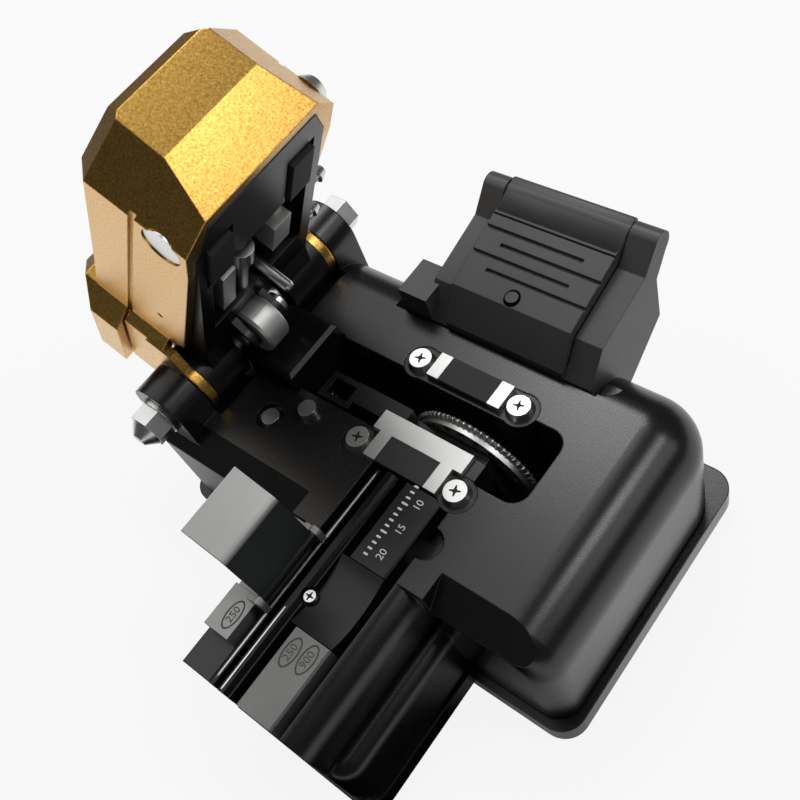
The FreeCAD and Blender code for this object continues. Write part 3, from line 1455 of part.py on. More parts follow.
def make_bin_lid():
    thick = D.bin_lid_thickness
    body = new_body("bin_lid_plate")
    span = (D.bin_lid_left, D.bin_lid_right)
    pad(body, "plate", "x", span, [
        (D.bin_front, D.bin_front_top + 0.1), (D.bin_knee_y, D.bin_knee_top + 0.1),
        (D.bin_hinge_y, D.bin_hinge_z - 1.0), (D.bin_hinge_y, D.bin_hinge_z + thick - 0.2),
        (D.bin_knee_y - 0.6, D.bin_knee_top + thick), (D.bin_front - 0.1, D.bin_front_top + 1.3),
    ])
    pad(body, "barrel", "x", span, circle(D.bin_hinge_y, D.bin_hinge_z, D.bin_knuckle_radius - 0.2))
    pocket(body, "pin_bore", "x", (span[0] - 1, span[1] + 1),
           circle(D.bin_hinge_y, D.bin_hinge_z, D.bin_pin_radius + D.fit_gap))
    rise = (D.bin_hinge_z - 0.2 - D.bin_knee_top) / (D.bin_hinge_y - D.bin_knee_y + 0.6)

    def lid_level(y):
        return D.bin_knee_top + thick + rise * (y - D.bin_knee_y + 0.6)

    half, deep, stop = D.lid_groove_width / 2, D.lid_groove_depth, D.lid_groove_stop
    for i in range(4):
        y = D.lid_groove_first + D.lid_groove_pitch * i
        ends = (span[0] + stop, span[1] + 1) if i % 2 == 0 else (span[0] - 1, span[1] - stop)
        pocket(body, f"groove_{i}", "x", ends,
               rectangle(y - half, y + half, lid_level(y) - deep, lid_level(y) + 1))
    seam = D.lid_seam_y
    pocket(body, "seam", "x", (span[0] - 1, span[1] + 1),
           rectangle(seam - half / 2, seam + half / 2, lid_level(seam) - deep, lid_level(seam) + 1))
    face, radius = lid_level(D.lid_screw_y), D.lid_screw_radius
    spot = (D.lid_screw_x, D.lid_screw_y)
    pocket(body, "screw_seat", "z", (face - 0.9, face + 1), circle(*spot, radius + D.fit_gap))
    pocket(body, "screw_hole", "z", (face - 1.3, face), circle(*spot, radius / 2))
    node(body, "bin_lid")
    node(fuse("bin_lid_screw_body",
              rod("bin_lid_screw_head", "z", spot, radius, (face - 0.9, face + 0.3), radius * 0.8),
              rod("bin_lid_screw_shank", "z", spot, radius / 2, (face - 1.3, face - 0.8))),
         "bin_lid_screw")
    pin = rod("bin_pin_rod", "x", (D.bin_hinge_y, D.bin_hinge_z), D.bin_pin_radius,
              (D.bin_left, D.bin_right))
    node(pin, "bin_hinge_pin")


# --- build ---------------------------------------------------------------------------------------------


def check_model():
    for thing in document.Objects:
        faults = {"Invalid", "Error"}.intersection(thing.State)
        if faults:
            raise ValueError(f"{thing.Name} ({thing.Label}) is {sorted(faults)}: {thing.getStatusString()}")
    for thing in NODES:
        if thing.Shape.isNull() or not thing.Shape.isValid():
            raise ValueError(f"{thing.Label} has no valid shape")


def export_nodes():
    os.makedirs("parts", exist_ok=True)
    for thing in NODES:
        thing.Shape.exportStep(f"parts/{thing.Label}.step")


def main():
    make_base_body()
    make_base_plate()
    make_base_mat()
    make_base_screws()
    make_near_clamp()
    make_far_clamp()
    make_clamp_screws()
    make_tray_plates()
    make_saddle()
    make_groove_strip()
    make_tray_screw()
    make_tray_ledge()
    make_fibre_lid()
    make_deck_pieces()
    make_axle()
    make_push_block()
    make_blade_wheel()
    make_hub()
    make_carriage()
    make_rail()
    make_lever_cover()
    make_lever_frame()
    make_lever_screws()
    make_window_pieces()
    make_barrel_bushes()
    make_roller()
    make_upper_pad("near", D.near_pad_front, D.near_pad_back,
                   (D.near_heel_back, D.near_heel_front, D.near_heel_side, D.near_heel_inner))
    make_upper_pad("far", D.far_pad_front, D.far_pad_back,
                   (D.far_heel_back, D.far_heel_front, D.far_heel_inner, D.far_heel_side))
    make_pad_springs()
    make_bin_box()
    make_bin_lid()
    document.recompute()
    check_model()
    export_nodes()


main()
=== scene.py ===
"""Looks of the fibre cleaver: materials, marks, screws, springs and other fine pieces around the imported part.

Metres, Z up, in the part's own frame: X along the blade's stroke, Y along the fibre, origin on the bench."""

import bpy
import numpy as np
from mathutils import Matrix


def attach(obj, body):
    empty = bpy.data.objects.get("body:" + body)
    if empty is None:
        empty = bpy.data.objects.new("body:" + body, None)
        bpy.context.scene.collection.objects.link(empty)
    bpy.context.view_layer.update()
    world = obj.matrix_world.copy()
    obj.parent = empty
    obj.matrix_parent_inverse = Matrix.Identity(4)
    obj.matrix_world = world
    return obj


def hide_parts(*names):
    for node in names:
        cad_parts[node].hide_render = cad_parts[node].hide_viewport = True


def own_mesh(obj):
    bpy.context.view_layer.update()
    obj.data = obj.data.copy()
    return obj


MM = 0.001

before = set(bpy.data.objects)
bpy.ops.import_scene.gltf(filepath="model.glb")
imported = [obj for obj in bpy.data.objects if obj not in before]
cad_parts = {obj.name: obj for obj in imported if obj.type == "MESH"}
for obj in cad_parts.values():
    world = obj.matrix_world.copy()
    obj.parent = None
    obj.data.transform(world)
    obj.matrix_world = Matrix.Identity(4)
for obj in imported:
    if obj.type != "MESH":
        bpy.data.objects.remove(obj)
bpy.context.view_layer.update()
bpy.context.scene.view_settings.view_transform = "Standard"


# --- stage ---------------------------------------------------------------------------------------------

# the camera stands high on the right of the tray's end; its two directions are those of its picture
CAMERA_PLACE = (71.2, -48.2, 151.2)
CAMERA_RIGHT = (0.7599, 0.5942, -0.2637)
CAMERA_DOWN = (0.3958, -0.7447, -0.5374)
FOCAL_IN_WIDTHS = 1.2615
LENS_SHIFT = (0.0021, 0.0024)
SENSOR_MM = 36.0

# half the paper's side in metres; the spot, in millimetres, from which its glow in metal is measured, and the
# distances where that glow starts and is full, nearer in a painted shadow of the object as metal sees it; the
# share of even white in what the camera sees of it
PAPER_HALF = 0.42
PAPER_CENTRE = (-5, -62, 0)
PAPER_DARK, PAPER_BRIGHT = 38, 72
PAPER_WHITE = 0.88
# strength of the light that comes from all round
ROOM = 0.07

# name, place, size and watts of the lamps: two soft boxes high and low on the right, a key box behind and a
# wide white ceiling
LAMPS = (("side_box", (285, 190, 480), (130, 130), 0.5),
         ("low_side_box", (455, 215, 335), (210, 210), 0.26),
         ("key_box", (-186, 295, 515), (150, 150), 0.65),
         ("sky_box", (-290, 40, 560), (640, 700), 1.66))
LAMPS_AIM = (0, 0, 20)


def look_from(place, right, down, focal_in_widths, shift):
    """Camera at a place in millimetres, with its picture's right and down directions."""
    data = bpy.data.cameras.new("studio_camera")
    data.sensor_width = SENSOR_MM
    data.lens = SENSOR_MM * focal_in_widths
    data.shift_x, data.shift_y = shift
    data.clip_start, data.clip_end = 0.01, 10
    right, down = np.array(right), np.array(down)
    right = right / np.linalg.norm(right)
    back = np.cross(right, -down)
    back = back / np.linalg.norm(back)
    up = np.cross(back, right)
    camera = bpy.data.objects.new("studio_camera", data)
    turn = np.eye(4)
    turn[:3, :3] = np.stack([right, up, back], axis=1)
    turn[:3, 3] = np.array(place) * MM
    camera.matrix_world = Matrix(turn.tolist())
    bpy.context.scene.collection.objects.link(camera)
    bpy.context.scene.camera = camera


look_from(CAMERA_PLACE, CAMERA_RIGHT, CAMERA_DOWN, FOCAL_IN_WIDTHS, LENS_SHIFT)


def node_in(tree, kind, settings=None, **links):
    """Adds one shader node: settings are its properties, links its inputs as values or other nodes' sockets.

    An input is given by its name, with _ for a space, or by its number, as i0 or i1."""
    made = tree.nodes.new(kind)
    for key, value in (settings or {}).items():
        setattr(made, key, value)
    for key, value in links.items():
        name = key.replace("_", " ")
        numbered = key[0] == "i" and key[1:].isdigit()
        socket = made.inputs[int(key[1:])] if numbered else made.inputs[name]
        if isinstance(value, bpy.types.NodeSocket):
            tree.links.new(value, socket)
        else:
            socket.default_value = value
    return made


def linear(code):
    """sRGB hex, such as 2b2c2e, to a linear colour."""
    parts = np.array([int(code[k:k + 2], 16) for k in (0, 2, 4)]) / 255
    low, high = parts / 12.92, ((parts + 0.055) / 1.055) ** 2.4
    return (*np.where(parts <= 0.04045, low, high).tolist(), 1.0)


def new_material(name):
    """An empty material and its node tree."""
    made = bpy.data.materials.new(name)
    made.use_nodes = True
    made.node_tree.nodes.clear()
    return made, made.node_tree


def lamp(name, place, target, size, watts):
    """A white box light at a place in millimetres, turned towards its target."""
    data = bpy.data.lights.new(name, "AREA")
    data.shape = "RECTANGLE"
    data.size, data.size_y = size[0] * MM, size[1] * MM
    data.energy = watts
    thing = bpy.data.objects.new(name, data)
    place, target = np.array(place, float), np.array(target, float)
    back = (place - target) / np.linalg.norm(place - target)
    right = np.cross((0, 0, 1), back)
    right = right / np.linalg.norm(right)
    turn = np.eye(4)
    turn[:3, :3] = np.stack([right, np.cross(back, right), back], axis=1)
    turn[:3, 3] = place * MM
    thing.matrix_world = Matrix(turn.tolist())
    bpy.context.scene.collection.objects.link(thing)


def lay_floor():
    """Pale paper. The camera sees it mostly as even white, and the rest of it takes the object's shadow.

    Metal sees its glow from a hand's width away, and close to the object a painted shadow where the glow is off."""
    mesh = bpy.data.meshes.new("paper")
    half = PAPER_HALF
    corners = [(-half, -half, 0), (half, -half, 0), (half, half, 0), (-half, half, 0)]
    mesh.from_pydata(corners, [], [(0, 1, 2, 3)])
    paper = bpy.data.objects.new("paper", mesh)
    bpy.context.scene.collection.objects.link(paper)
    made, tree = new_material("white_paper")
    matt = node_in(tree, "ShaderNodeBsdfDiffuse", Color=linear("6a6a69"))
    glow = node_in(tree, "ShaderNodeEmission", Color=(1, 1, 1, 1), Strength=1.0)
    ray = node_in(tree, "ShaderNodeLightPath")
    shaded = node_in(tree, "ShaderNodeBsdfDiffuse", Color=linear("f4f4f3"))
    dull = node_in(tree, "ShaderNodeMixShader", Fac=ray.outputs["Is Camera Ray"], i1=matt.outputs[0],
                   i2=shaded.outputs[0])
    spot = node_in(tree, "ShaderNodeNewGeometry")
    offset = node_in(tree, "ShaderNodeVectorMath", {"operation": "DISTANCE"}, i0=spot.outputs["Position"],
                     i1=[share * MM for share in PAPER_CENTRE])
    away = node_in(tree, "ShaderNodeMapRange", i0=offset.outputs["Value"], i1=PAPER_DARK * MM,
                   i2=PAPER_BRIGHT * MM, i3=0.0, i4=1.0)
    strength = node_in(tree, "ShaderNodeMath", {"operation": "MAXIMUM"}, i0=ray.outputs["Is Camera Ray"],
                       i1=away.outputs[0])
    tree.links.new(strength.outputs[0], glow.inputs["Strength"])
    to_camera = node_in(tree, "ShaderNodeMath", {"operation": "MULTIPLY"}, i0=ray.outputs["Is Camera Ray"],
                        i1=PAPER_WHITE)
    seen = node_in(tree, "ShaderNodeMath", {"operation": "MAXIMUM"}, i0=to_camera.outputs[0],
                   i1=ray.outputs["Is Glossy Ray"])
    mix = node_in(tree, "ShaderNodeMixShader", Fac=seen.outputs[0], i1=dull.outputs[0], i2=glow.outputs[0])
    node_in(tree, "ShaderNodeOutputMaterial", Surface=mix.outputs[0])
    mesh.materials.append(made)


def light_room():
    """A dim room, white to the camera, and the lamps."""
    world = bpy.data.worlds.new("studio")
    world.use_nodes = True
    tree = world.node_tree
    tree.nodes.clear()
    dim = node_in(tree, "ShaderNodeBackground", Color=linear("f5f6f8"), Strength=ROOM)
    white = node_in(tree, "ShaderNodeBackground", Color=(1, 1, 1, 1), Strength=1.0)
    ray = node_in(tree, "ShaderNodeLightPath")
    mix = node_in(tree, "ShaderNodeMixShader", Fac=ray.outputs["Is Camera Ray"], i1=dim.outputs[0],
                  i2=white.outputs[0])
    node_in(tree, "ShaderNodeOutputWorld", Surface=mix.outputs[0])
    bpy.context.scene.world = world
    for name, where, size, watts in LAMPS:
        lamp(name, where, LAMPS_AIM, size, watts)


lay_floor()
light_room()


# --- materials -----------------------------------------------------------------------------------------


def grain(tree, size_mm, detail=2.0, stretch=(1, 1, 1)):
    """Noise whose grains are size_mm across, on the piece's own coordinates in metres."""
    spot = node_in(tree, "ShaderNodeTexCoord")
    scaled = node_in(tree, "ShaderNodeMapping", Vector=spot.outputs["Object"], Scale=stretch)
    return node_in(tree, "ShaderNodeTexNoise", Vector=scaled.outputs[0], Scale=1 / (size_mm * MM),
                   Detail=detail, Roughness=0.6)


def finish_with(tree, shader):
    """Gives the material its surface."""
    node_in(tree, "ShaderNodeOutputMaterial", Surface=shader.outputs[0])


def mixed(tree, factor, first, second):
    """The first colour where the factor is 0 and the second where it is 1."""
    blend = node_in(tree, "ShaderNodeMix", {"data_type": "RGBA"})
    tree.links.new(factor, blend.inputs[0])
    for socket, value in ((blend.inputs[6], first), (blend.inputs[7], second)):
        socket.default_value = value
    return blend.outputs[2]


def ranged(tree, value, low, high, start=0.3, end=0.7):
    """Stretches start to end, by default the range that noise fills, to low to high."""
    return node_in(tree, "ShaderNodeMapRange", i0=value, i1=start, i2=end, i3=low, i4=high).outputs[0]


def soft_edges(tree, radius_mm, bump=None):
    """Rounds sharp edges in the shading by a real edge radius."""
    edge = node_in(tree, "ShaderNodeBevel", {"samples": 6}, Radius=radius_mm * MM)
    if bump is not None:
        tree.links.new(edge.outputs[0], bump.inputs["Normal"])
        return bump.outputs[0]
    return edge.outputs[0]


def coated(name, dark, light, metal, rough, grain_mm, bump_mm, edge_mm, cloud_mm=9.0, **extra):
    """A finish with clouds of colour, fine grain in its roughness and relief, and softened edges."""
    made, tree = new_material(name)
    clouds = grain(tree, cloud_mm)
    fine = grain(tree, grain_mm, detail=3.0)
    bump = node_in(tree, "ShaderNodeBump", Strength=0.5, Distance=bump_mm * MM, Height=fine.outputs[0])
    shader = node_in(
        tree, "ShaderNodeBsdfPrincipled",
        Base_Color=mixed(tree, ranged(tree, clouds.outputs[0], 0, 1), linear(dark), linear(light)),
        Metallic=metal, Roughness=ranged(tree, fine.outputs[0], rough[0], rough[1]),
        Normal=soft_edges(tree, edge_mm, bump), **extra)
    finish_with(tree, shader)
    return made


# die-cast zinc alloy under a satin black powder coat: even, faintly grained, soft wide highlights
powder_black = coated("satin_black_powder_coat", "151516", "1a1a1b", 0.0, (0.25, 0.31), 0.25, 0.0022, 0.3)
# black polyoxymethylene, machined: a shade darker and duller than the casting
acetal_black = coated("black_acetal", "0f0f10", "141416", 0.0, (0.30, 0.38), 0.3, 0.004, 0.12,
                      Specular_IOR_Level=0.4)
# moulded ABS of the bin, spark-eroded fine texture, greyer
abs_black = coated("moulded_abs", "4a4a4b", "525253", 0.0, (0.38, 0.48), 0.16, 0.012, 0.2)
# bead-blasted aluminium anodised gold: glitter of blasted pits under a clear sealed film, pale when seen edge on
gold = coated("gold_anodised_aluminium", "b9862f", "f2c264", 1.0, (0.26, 0.38), 0.2, 0.02, 0.3,
              cloud_mm=0.3, Coat_Weight=0.3, Coat_Roughness=0.35, Coat_IOR=1.65)
# polished stainless steel of screws, pins and nuts
bright = coated("polished_stainless_steel", "d4d4d2", "e4e4e2", 1.0, (0.28, 0.36), 0.4, 0.002, 0.08)
# ground steel plates and strips: dull white with a fine lay
ground = coated("ground_steel", "c4c4c2", "d2d2d0", 1.0, (0.36, 0.46), 0.12, 0.003, 0.08)
# turned and blasted steel of the roller and the pad holders: pale and dull
blasted = coated("blasted_steel", "dcdcda", "e8e8e5", 0.8, (0.4, 0.5), 0.12, 0.003, 0.08)
# tempered steel of the groove strip, the bin's screw and its hinge pin, blued to black: thin oily sheen
blued = coated("blued_steel", "161617", "1e1e20", 0.6, (0.22, 0.3), 0.2, 0.002, 0.06)
# hard-anodised aluminium plates of the tray: even mid grey, half matt
grey_anodised = coated("grey_hard_anodised_aluminium", "737372", "7d7d7b", 0.55, (0.4, 0.5), 0.15, 0.004,
                       0.12)
# anodised aluminium of the tray's ledge: its own grey tone, made paler as a painted highlight for the light it
# catches at a grazing angle
ledge_anodised_painted_highlight = coated("anodised_aluminium_painted_highlight", "9c9c9a", "a6a6a3", 0.6, (0.4, 0.5), 0.15, 0.004, 0.12)
# black nitrile rubber pads
nitrile = coated("nitrile_rubber", "29292a", "303031", 0.0, (0.6, 0.72), 0.2, 0.01, 0.1)
# enamel filled into the ruler's engraving
white_fill = coated("white_engraving_enamel", "e2e2e0", "f2f2f0", 0.0, (0.45, 0.55), 0.1, 0.002, 0.02)
# painted shadow in a drive socket, an engraved line or a drilled hole: a flat dark dab where there is only shade
recess_painted_shade = coated("unlit_recess", "0a0a0a", "101010", 0.0, (0.6, 0.7), 0.1, 0.001, 0.02)
# laser-marked line on the plates: burnt dark grey
laser_mark = coated("laser_marking", "4a4a49", "545453", 0.2, (0.5, 0.6), 0.1, 0.001, 0.02)


# height, in metres, at which the tray's lid turns from its panel near the hinge, painted dark as shade, to its
# bright tab, and where around that height the change starts and ends
LID_BEND = 0.0378
LID_FADE = (-0.0006, 0.0005)


def bent_sheet():
    """Polished stainless sheet whose inner face near the hinge is painted near black as shade, pale on the outer
    tab.
    """
    made, tree = new_material("stainless_sheet_painted_shade")
    spot = node_in(tree, "ShaderNodeTexCoord")
    apart = node_in(tree, "ShaderNodeSeparateXYZ", Vector=spot.outputs["Object"])
    bend = ranged(tree, apart.outputs["Z"], 0, 1, LID_BEND + LID_FADE[0], LID_BEND + LID_FADE[1])
    brushed = grain(tree, 0.5, detail=3.0, stretch=(1, 0.08, 1))
    shader = node_in(tree, "ShaderNodeBsdfPrincipled",
                     Base_Color=mixed(tree, bend, linear("1d1f20"), linear("f0f0ee")), Metallic=0.55,
                     Roughness=ranged(tree, brushed.outputs[0], 0.31, 0.34),
                     Normal=soft_edges(tree, 0.1))
    finish_with(tree, shader)
    return made


lid_sheet = bent_sheet()

WEARS = {
    powder_black: ["base_body", "base_plate"],
    abs_black: ["bin_box", "bin_lid"],
    gold: ["lever_cover"],
    bright: ["base_screws", "clamp_screws", "tray_screw", "latch_magnet", "lid_magnet", "stop_pin",
             "lid_hinge_pin", "lever_axle", "axle_nuts", "axle_washers", "block_spring", "lever_spring",
             "roller_pin", "pad_springs", "blade_axle", "hub_screw", "carriage_spring",
             "cover_screws", "lever_screws", "adjust_screw", "lever_peg"],
    lid_sheet: ["fibre_lid"],
    blued: ["groove_strip", "bin_hinge_pin", "bin_lid_screw"],
    grey_anodised: ["guide_plate"],
    ledge_anodised_painted_highlight: ["tray_ledge"],
    ground: ["near_clamp_plate", "far_clamp_strips", "carriage_rail", "blade_wheel", "index_ring"],
    blasted: ["press_roller", "upper_near_holder", "upper_far_holder"],
    nitrile: ["base_mat", "near_clamp_pad", "far_clamp_pad", "upper_near_pad", "upper_far_pad"],
    acetal_black: ["near_clamp_block", "far_clamp_block", "ruler_plate", "saddle_block", "barrel_bushes",
                   "push_block", "blade_carriage", "lever_frame"],
}


def dress_nodes():
    """Puts its finish on every node, and stops if one has none."""
    dressed = set()
    for material, names in WEARS.items():
        for name in names:
            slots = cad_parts[name].material_slots
            for slot in slots:
                slot.material = material
            dressed.add(name)
    missing = set(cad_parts) - dressed
    if missing:
        raise ValueError(f"nodes with no finish: {sorted(missing)}")


dress_nodes()

# --- fine pieces ---------------------------------------------------------------------------------------

UP, AWAY, ACROSS, NEAR_SIDE = (0, 0, 1), (0, 1, 0), (1, 0, 0), (0, -1, 0)

# heights of the faces that carry marks or sockets, in millimetres
PLATE_TOP, LEDGE_TOP = 28.9, 28.8
CLAMP_SCREW_TOP, TRAY_SCREW_TOP, RAIL_TOP = 29.2, 28.6, 27.8
MARK_RISE = 0.02


def plane_of(centre, out, along):
    """Origin and axes, in metres, of a small plane at a point: along, across and outward."""
    out, along = np.array(out, float), np.array(along, float)
    out = out / np.linalg.norm(out)
    along = along - out * along.dot(out)
    along = along / np.linalg.norm(along)
    return np.array(centre, float) * MM, np.stack([along, np.cross(out, along), out])


def keep(name, points, faces, material, body):
    """Makes the piece, smooth all over, and lets it ride on a body."""
    mesh = bpy.data.meshes.new(name)
    corners = faces.tolist() if isinstance(faces, np.ndarray) else faces
    mesh.from_pydata(points.reshape(-1, 3).tolist(), [], corners)
    mesh.materials.append(material)
    mesh.polygons.foreach_set("use_smooth", np.ones(len(mesh.polygons), dtype=bool))
    mesh.update()
    piece = bpy.data.objects.new(name, mesh)
    bpy.context.scene.collection.objects.link(piece)
    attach(piece, body)
    return piece


def ring_faces(rows, around):
    """Quads between successive closed rings of points, numbered row by row."""
    row, spot = np.meshgrid(np.arange(rows - 1), np.arange(around), indexing="ij")
    after = (spot + 1) % around
    return np.stack([row * around + spot, row * around + after, (row + 1) * around + after,
                     (row + 1) * around + spot], axis=-1).reshape(-1, 4)


def end_caps(rows, around):
    """The two faces that close a tube of rings, numbered row by row."""
    return [list(range(around))[::-1], list(range((rows - 1) * around, rows * around))]


def button(outline, rise, sink=0.05, rows=4):
    """A closed low dome in millimetres, over a short skirt: the outline shrinks while it rises.

    A point at angle t and step s, 0 to 80 degrees, is outline(t) * sqrt(cos(s)) at height rise * sin(s)."""
    turn = np.linspace(0, 2 * np.pi, outline.shape[0], endpoint=False)
    step = np.radians(np.linspace(0, 80, rows))
    flat = outline[None, :, :] * np.cos(step)[:, None, None] ** 0.5
    high = np.broadcast_to((rise * np.sin(step))[:, None], (rows, turn.size))
    rings = np.concatenate([flat, high[:, :, None]], axis=2)
    skirt = np.concatenate([outline, np.full((turn.size, 1), -sink)], axis=1)[None]
    points = np.concatenate([skirt, rings]).reshape(-1, 3)
    return points, ring_faces(rows + 1, turn.size).tolist() + end_caps(rows + 1, turn.size)


def rounded_bar(long, wide, count=20, power=5.0):
    """Outline of a bar with round corners: a superellipse, |x/a|^p + |y/b|^p = 1."""
    turn = np.linspace(0, 2 * np.pi, count, endpoint=False)
    corner = np.abs(np.cos(turn)) ** power + np.abs(np.sin(turn)) ** power
    reach = corner ** (-1 / power)
    return np.stack([long / 2 * reach * np.cos(turn), wide / 2 * reach * np.sin(turn)], axis=1)


def cross_socket(radius, count=64):
    """Outline of a cross recess, whose radius falls to under half between the arms: r (0.4 + 0.6 cos(2t)^6)."""
    turn = np.linspace(0, 2 * np.pi, count, endpoint=False)
    reach = radius * (0.40 + 0.60 * np.cos(2 * turn) ** 6)
    return np.stack([reach * np.cos(turn), reach * np.sin(turn)], axis=1)


def many(name, spots, outline, rise, material, body, sink=0.05):
    """The same button at several planes, joined into one piece."""
    points, faces = button(outline, rise, sink)
    placed, joined = [], []
    for count, (origin, axes) in enumerate(spots):
        placed.append(origin + points @ axes * MM)
        joined += [[corner + count * len(points) for corner in face] for face in faces]
    return keep(name, np.concatenate(placed), joined, material, body)


def ring_faces_closed(rows, around):
    """Quads of a closed ring of closed rings, as on a torus."""
    row, spot = np.meshgrid(np.arange(rows), np.arange(around), indexing="ij")
    after, below = (spot + 1) % around, (row + 1) % rows
    return np.stack([row * around + spot, row * around + after, below * around + after,
                     below * around + spot], axis=-1).reshape(-1, 4)


def written(name, text, height, centre, out, along, material, body, thick=0.03):
    """Figures of a given height in millimetres, flat on a plane and centred on a point."""
    data = bpy.data.curves.new(name, "FONT")
    data.body = text
    data.size = height * 1.38
    data.align_x, data.align_y = "CENTER", "CENTER"
    data.extrude = thick
    data.resolution_u = 3
    draft = bpy.data.objects.new(name + "_draft", data)
    bpy.context.scene.collection.objects.link(draft)
    shape = bpy.data.meshes.new_from_object(draft.evaluated_get(bpy.context.evaluated_depsgraph_get()))
    bpy.data.objects.remove(draft)
    spots = np.empty(len(shape.vertices) * 3)
    shape.vertices.foreach_get("co", spots)
    origin, axes = plane_of(centre, out, along)
    placed = origin + spots.reshape(-1, 3) @ axes * MM
    shape.vertices.foreach_set("co", placed.ravel())
    shape.name = name
    shape.materials.clear()
    shape.materials.append(material)
    shape.update()
    piece = bpy.data.objects.new(name, shape)
    bpy.context.scene.collection.objects.link(piece)
    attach(piece, body)


def mark_ruler():
    """White strokes at every millimetre from 11 to 24 off the blade's plane, longer at 15 and 20.

    The figures 10, 15 and 20 stand beside them at a spacing of their own."""
    short = [plane_of((3.85, -y, PLATE_TOP), UP, ACROSS) for y in range(11, 25) if y % 5]
    long = [plane_of((4.0, -y, PLATE_TOP), UP, ACROSS) for y in (15, 20)]
    many("ruler_strokes", short, rounded_bar(0.8, 0.34), 0.03, white_fill, "base")
    many("ruler_long_strokes", long, rounded_bar(1.15, 0.34), 0.03, white_fill, "base")
    for far in (10, 15, 20):
        middle = (5.95, -far * 0.87 - 5.5, PLATE_TOP)
        written(f"ruler_figure_{far}", str(far), 1.2, middle, UP, AWAY, white_fill, "base")


def oval_line(name, centre, long, wide, line, material, body):
    """A flat line along an oval, centre + (b sin t, a cos t), with a tube of the line's half width round it."""
    rows, around, thick = 48, 6, 0.03
    turn = np.linspace(0, 2 * np.pi, rows, endpoint=False)[:, None]
    round_it = np.linspace(0, 2 * np.pi, around, endpoint=False)[None, :]
    across = line / 2 * np.cos(round_it)
    points = np.stack([(wide / 2 + across) * np.sin(turn), (long / 2 + across) * np.cos(turn),
                       thick * np.sin(round_it) + 0 * turn], axis=-1)
    points = (points + np.array(centre)) * MM
    keep(name, points, ring_faces_closed(rows, around)[:, ::-1], material, body)


def mark_plates():
    """The fibre coating sizes, in micrometres, in ovals on the two plates that hold the stripped end."""
    for name, text, spot in (("guide_first", "250", (3.9, -40.7, PLATE_TOP)),
                             ("guide_second", "900", (6.6, -40.2, PLATE_TOP)),
                             ("ledge", "250", (-7.0, -41.2, LEDGE_TOP))):
        oval_line(f"{name}_oval", spot, 4.4, 2.1, 0.26, laser_mark, "base")
        written(f"{name}_figure", text, 1.2, spot, UP, AWAY, laser_mark, "base")


def cut_sockets():
    """Cross recesses in the clamp screws, turned alike, and in the tray's screw, drawn as flat dark dabs of
    painted shade.
    """
    askew = (1, 0.35, 0)
    clamp = [plane_of((x, y, CLAMP_SCREW_TOP), UP, askew) for x in (-9.25, 9.25) for y in (-9.8, 6.25)]
    tray = [plane_of((0.75, -33.1, TRAY_SCREW_TOP), UP, ACROSS)]
    many("clamp_screw_socket_shades", clamp, cross_socket(0.95), MARK_RISE, recess_painted_shade, "base")
    many("tray_screw_socket_shade", tray, cross_socket(0.75), MARK_RISE, recess_painted_shade, "base")


def carried(name, profile, start, end, edge, material, body):
    """A closed profile in Y and Z carried along X, drawn in a little at both ends as a rounded edge.

    Near each end the profile shrinks about its own centre, so that its widest reach loses edge (1 - sin s)."""
    ease = np.sin(np.radians([10, 35, 90]))
    stations = np.concatenate([start + edge * ease, end - edge * ease[::-1]])
    shrink = np.concatenate([ease, ease[::-1]])
    middle = profile.mean(axis=0)
    reach = np.ptp(profile, axis=0).max() / 2
    size = 1 - edge * (1 - shrink) / reach
    flat = middle + (profile - middle)[None] * size[:, None, None]
    across = np.broadcast_to(stations[:, None, None], flat.shape[:2] + (1,))
    rows, around = len(stations), len(profile)
    faces = ring_faces(rows, around).tolist() + end_caps(rows, around)
    return keep(name, np.concatenate([across, flat], axis=2) * MM, faces, material, body)


def cover_bin_hinge():
    """The lid's rear panel: flat behind its seam, over the hinge barrel, and rounded down at the back."""
    front, back, low, top_back = 30.05, 36.35, 38.5, 40.35
    left, right, edge, rounding, thick = -9.45, 11.95, 0.15, 0.9, 0.35
    turn = np.radians(np.linspace(90, 0, 7))
    curve = np.stack([back - rounding + rounding * np.cos(turn), top_back - rounding + rounding * np.sin(turn)],
                     axis=1)
    profile = np.concatenate([[[front, 38.2], [front, 38.38]], curve, [[back, low], [back - thick, low]],
                              [[back - thick, 39.2], [34.6, 39.7], [32.0, 38.5]]])
    carried("bin_lid_rear_panel", profile[::-1], left, right, edge, abs_black, "bin_cover")


HUB = np.array([3.6, 0, 16.95])


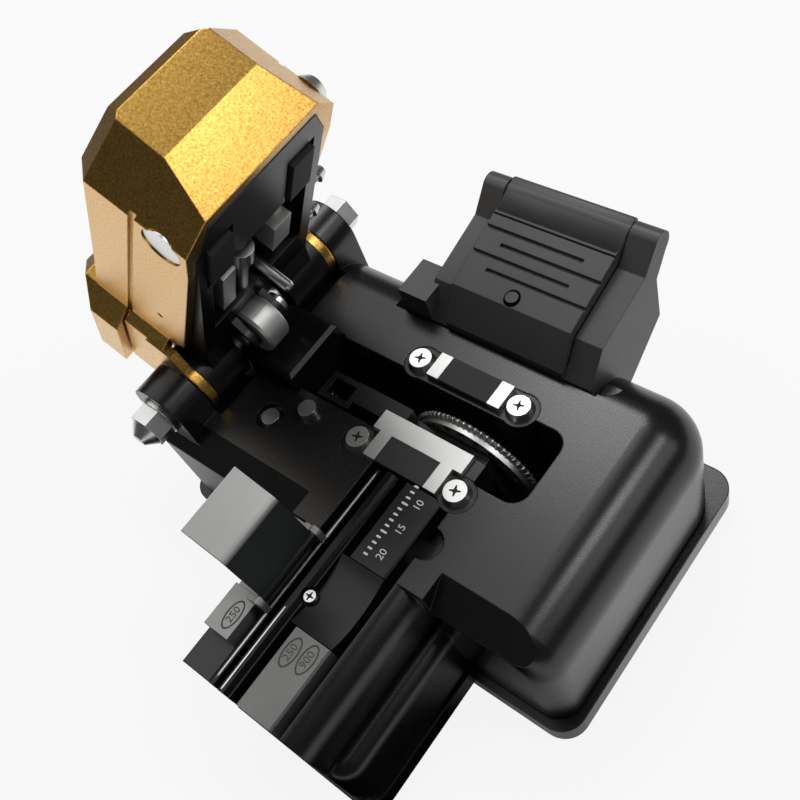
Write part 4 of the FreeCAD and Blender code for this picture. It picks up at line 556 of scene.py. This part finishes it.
def bead_wheel():
    """Beaded cutting rim, a ring whose tube swells and narrows as cos(nt), and the drilled index holes, drawn as
    dark dabs of painted shade.
    """
    teeth, around, rim, hole_ring, hole_radius, face = 72, 8, 11.44, 10.3, 0.55, -1.3
    rows = teeth * 8
    turn = np.linspace(0, 2 * np.pi, rows, endpoint=False)[:, None]
    round_it = np.linspace(0, 2 * np.pi, around, endpoint=False)[None, :]
    tube = 0.36 + 0.20 * np.cos(teeth * turn)
    reach = rim + tube * np.cos(round_it)
    points = np.stack([reach * np.cos(turn), tube * np.sin(round_it), reach * np.sin(turn)], axis=-1)
    points = (points + HUB) * MM
    keep("blade_rim_teeth", points, ring_faces_closed(rows, around), bright, "wheel")
    angles = np.linspace(0, 2 * np.pi, 24, endpoint=False)
    holes = [plane_of((HUB[0] + hole_ring * np.cos(angle), face, HUB[2] + hole_ring * np.sin(angle)),
                      NEAR_SIDE, UP) for angle in angles]
    circle = np.stack([hole_radius * np.cos(angles), hole_radius * np.sin(angles)], axis=1)
    many("index_holes", holes, circle, MARK_RISE, recess_painted_shade, "wheel")


def draw_lands():
    """Thin bright strips along the fibre's strip and the outer rail: lands left by grinding, and a painted
    highlight where their edges catch the light.
    """
    corners, square = 40, 12
    for name, middle, long, wide, steel in (("groove_land_glint", (-1.12, -43.0, PLATE_TOP), 14.2, 0.26, bright),
                                            ("rail_land_glint", (-3.5, -31.0, RAIL_TOP), 37.0, 0.3, ground)):
        many(name, [plane_of(middle, UP, AWAY)], rounded_bar(long, wide, corners, square), MARK_RISE, steel,
             "base")


def wind_block_spring():
    """The block's spring as one wire with closed ends, which goes round the axis while it rises evenly."""
    low, high, reach, wire, turns, rows, around = 12.93, 29.17, 2.05, 0.32, 7.5, 241, 8
    middle_x, middle_y = -29.8, -1.6
    share = np.linspace(0, 1, rows)[:, None]
    round_it = np.linspace(0, 2 * np.pi, around, endpoint=False)[None, :]
    turn = 2 * np.pi * turns * share
    level = low + wire + (high - low - 2 * wire) * share
    out = reach + wire * np.sin(round_it)
    points = np.stack([middle_x + out * np.cos(turn), middle_y + out * np.sin(turn),
                       level + wire * np.cos(round_it)], axis=-1) * MM
    faces = ring_faces(rows, around).tolist() + end_caps(rows, around)
    spring = keep("block_spring_wire", points, faces, bright, "base")
    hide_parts("block_spring")
    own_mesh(spring)


mark_ruler()
mark_plates()
cut_sockets()
cover_bin_hinge()
bead_wheel()
draw_lands()
wind_block_spring()
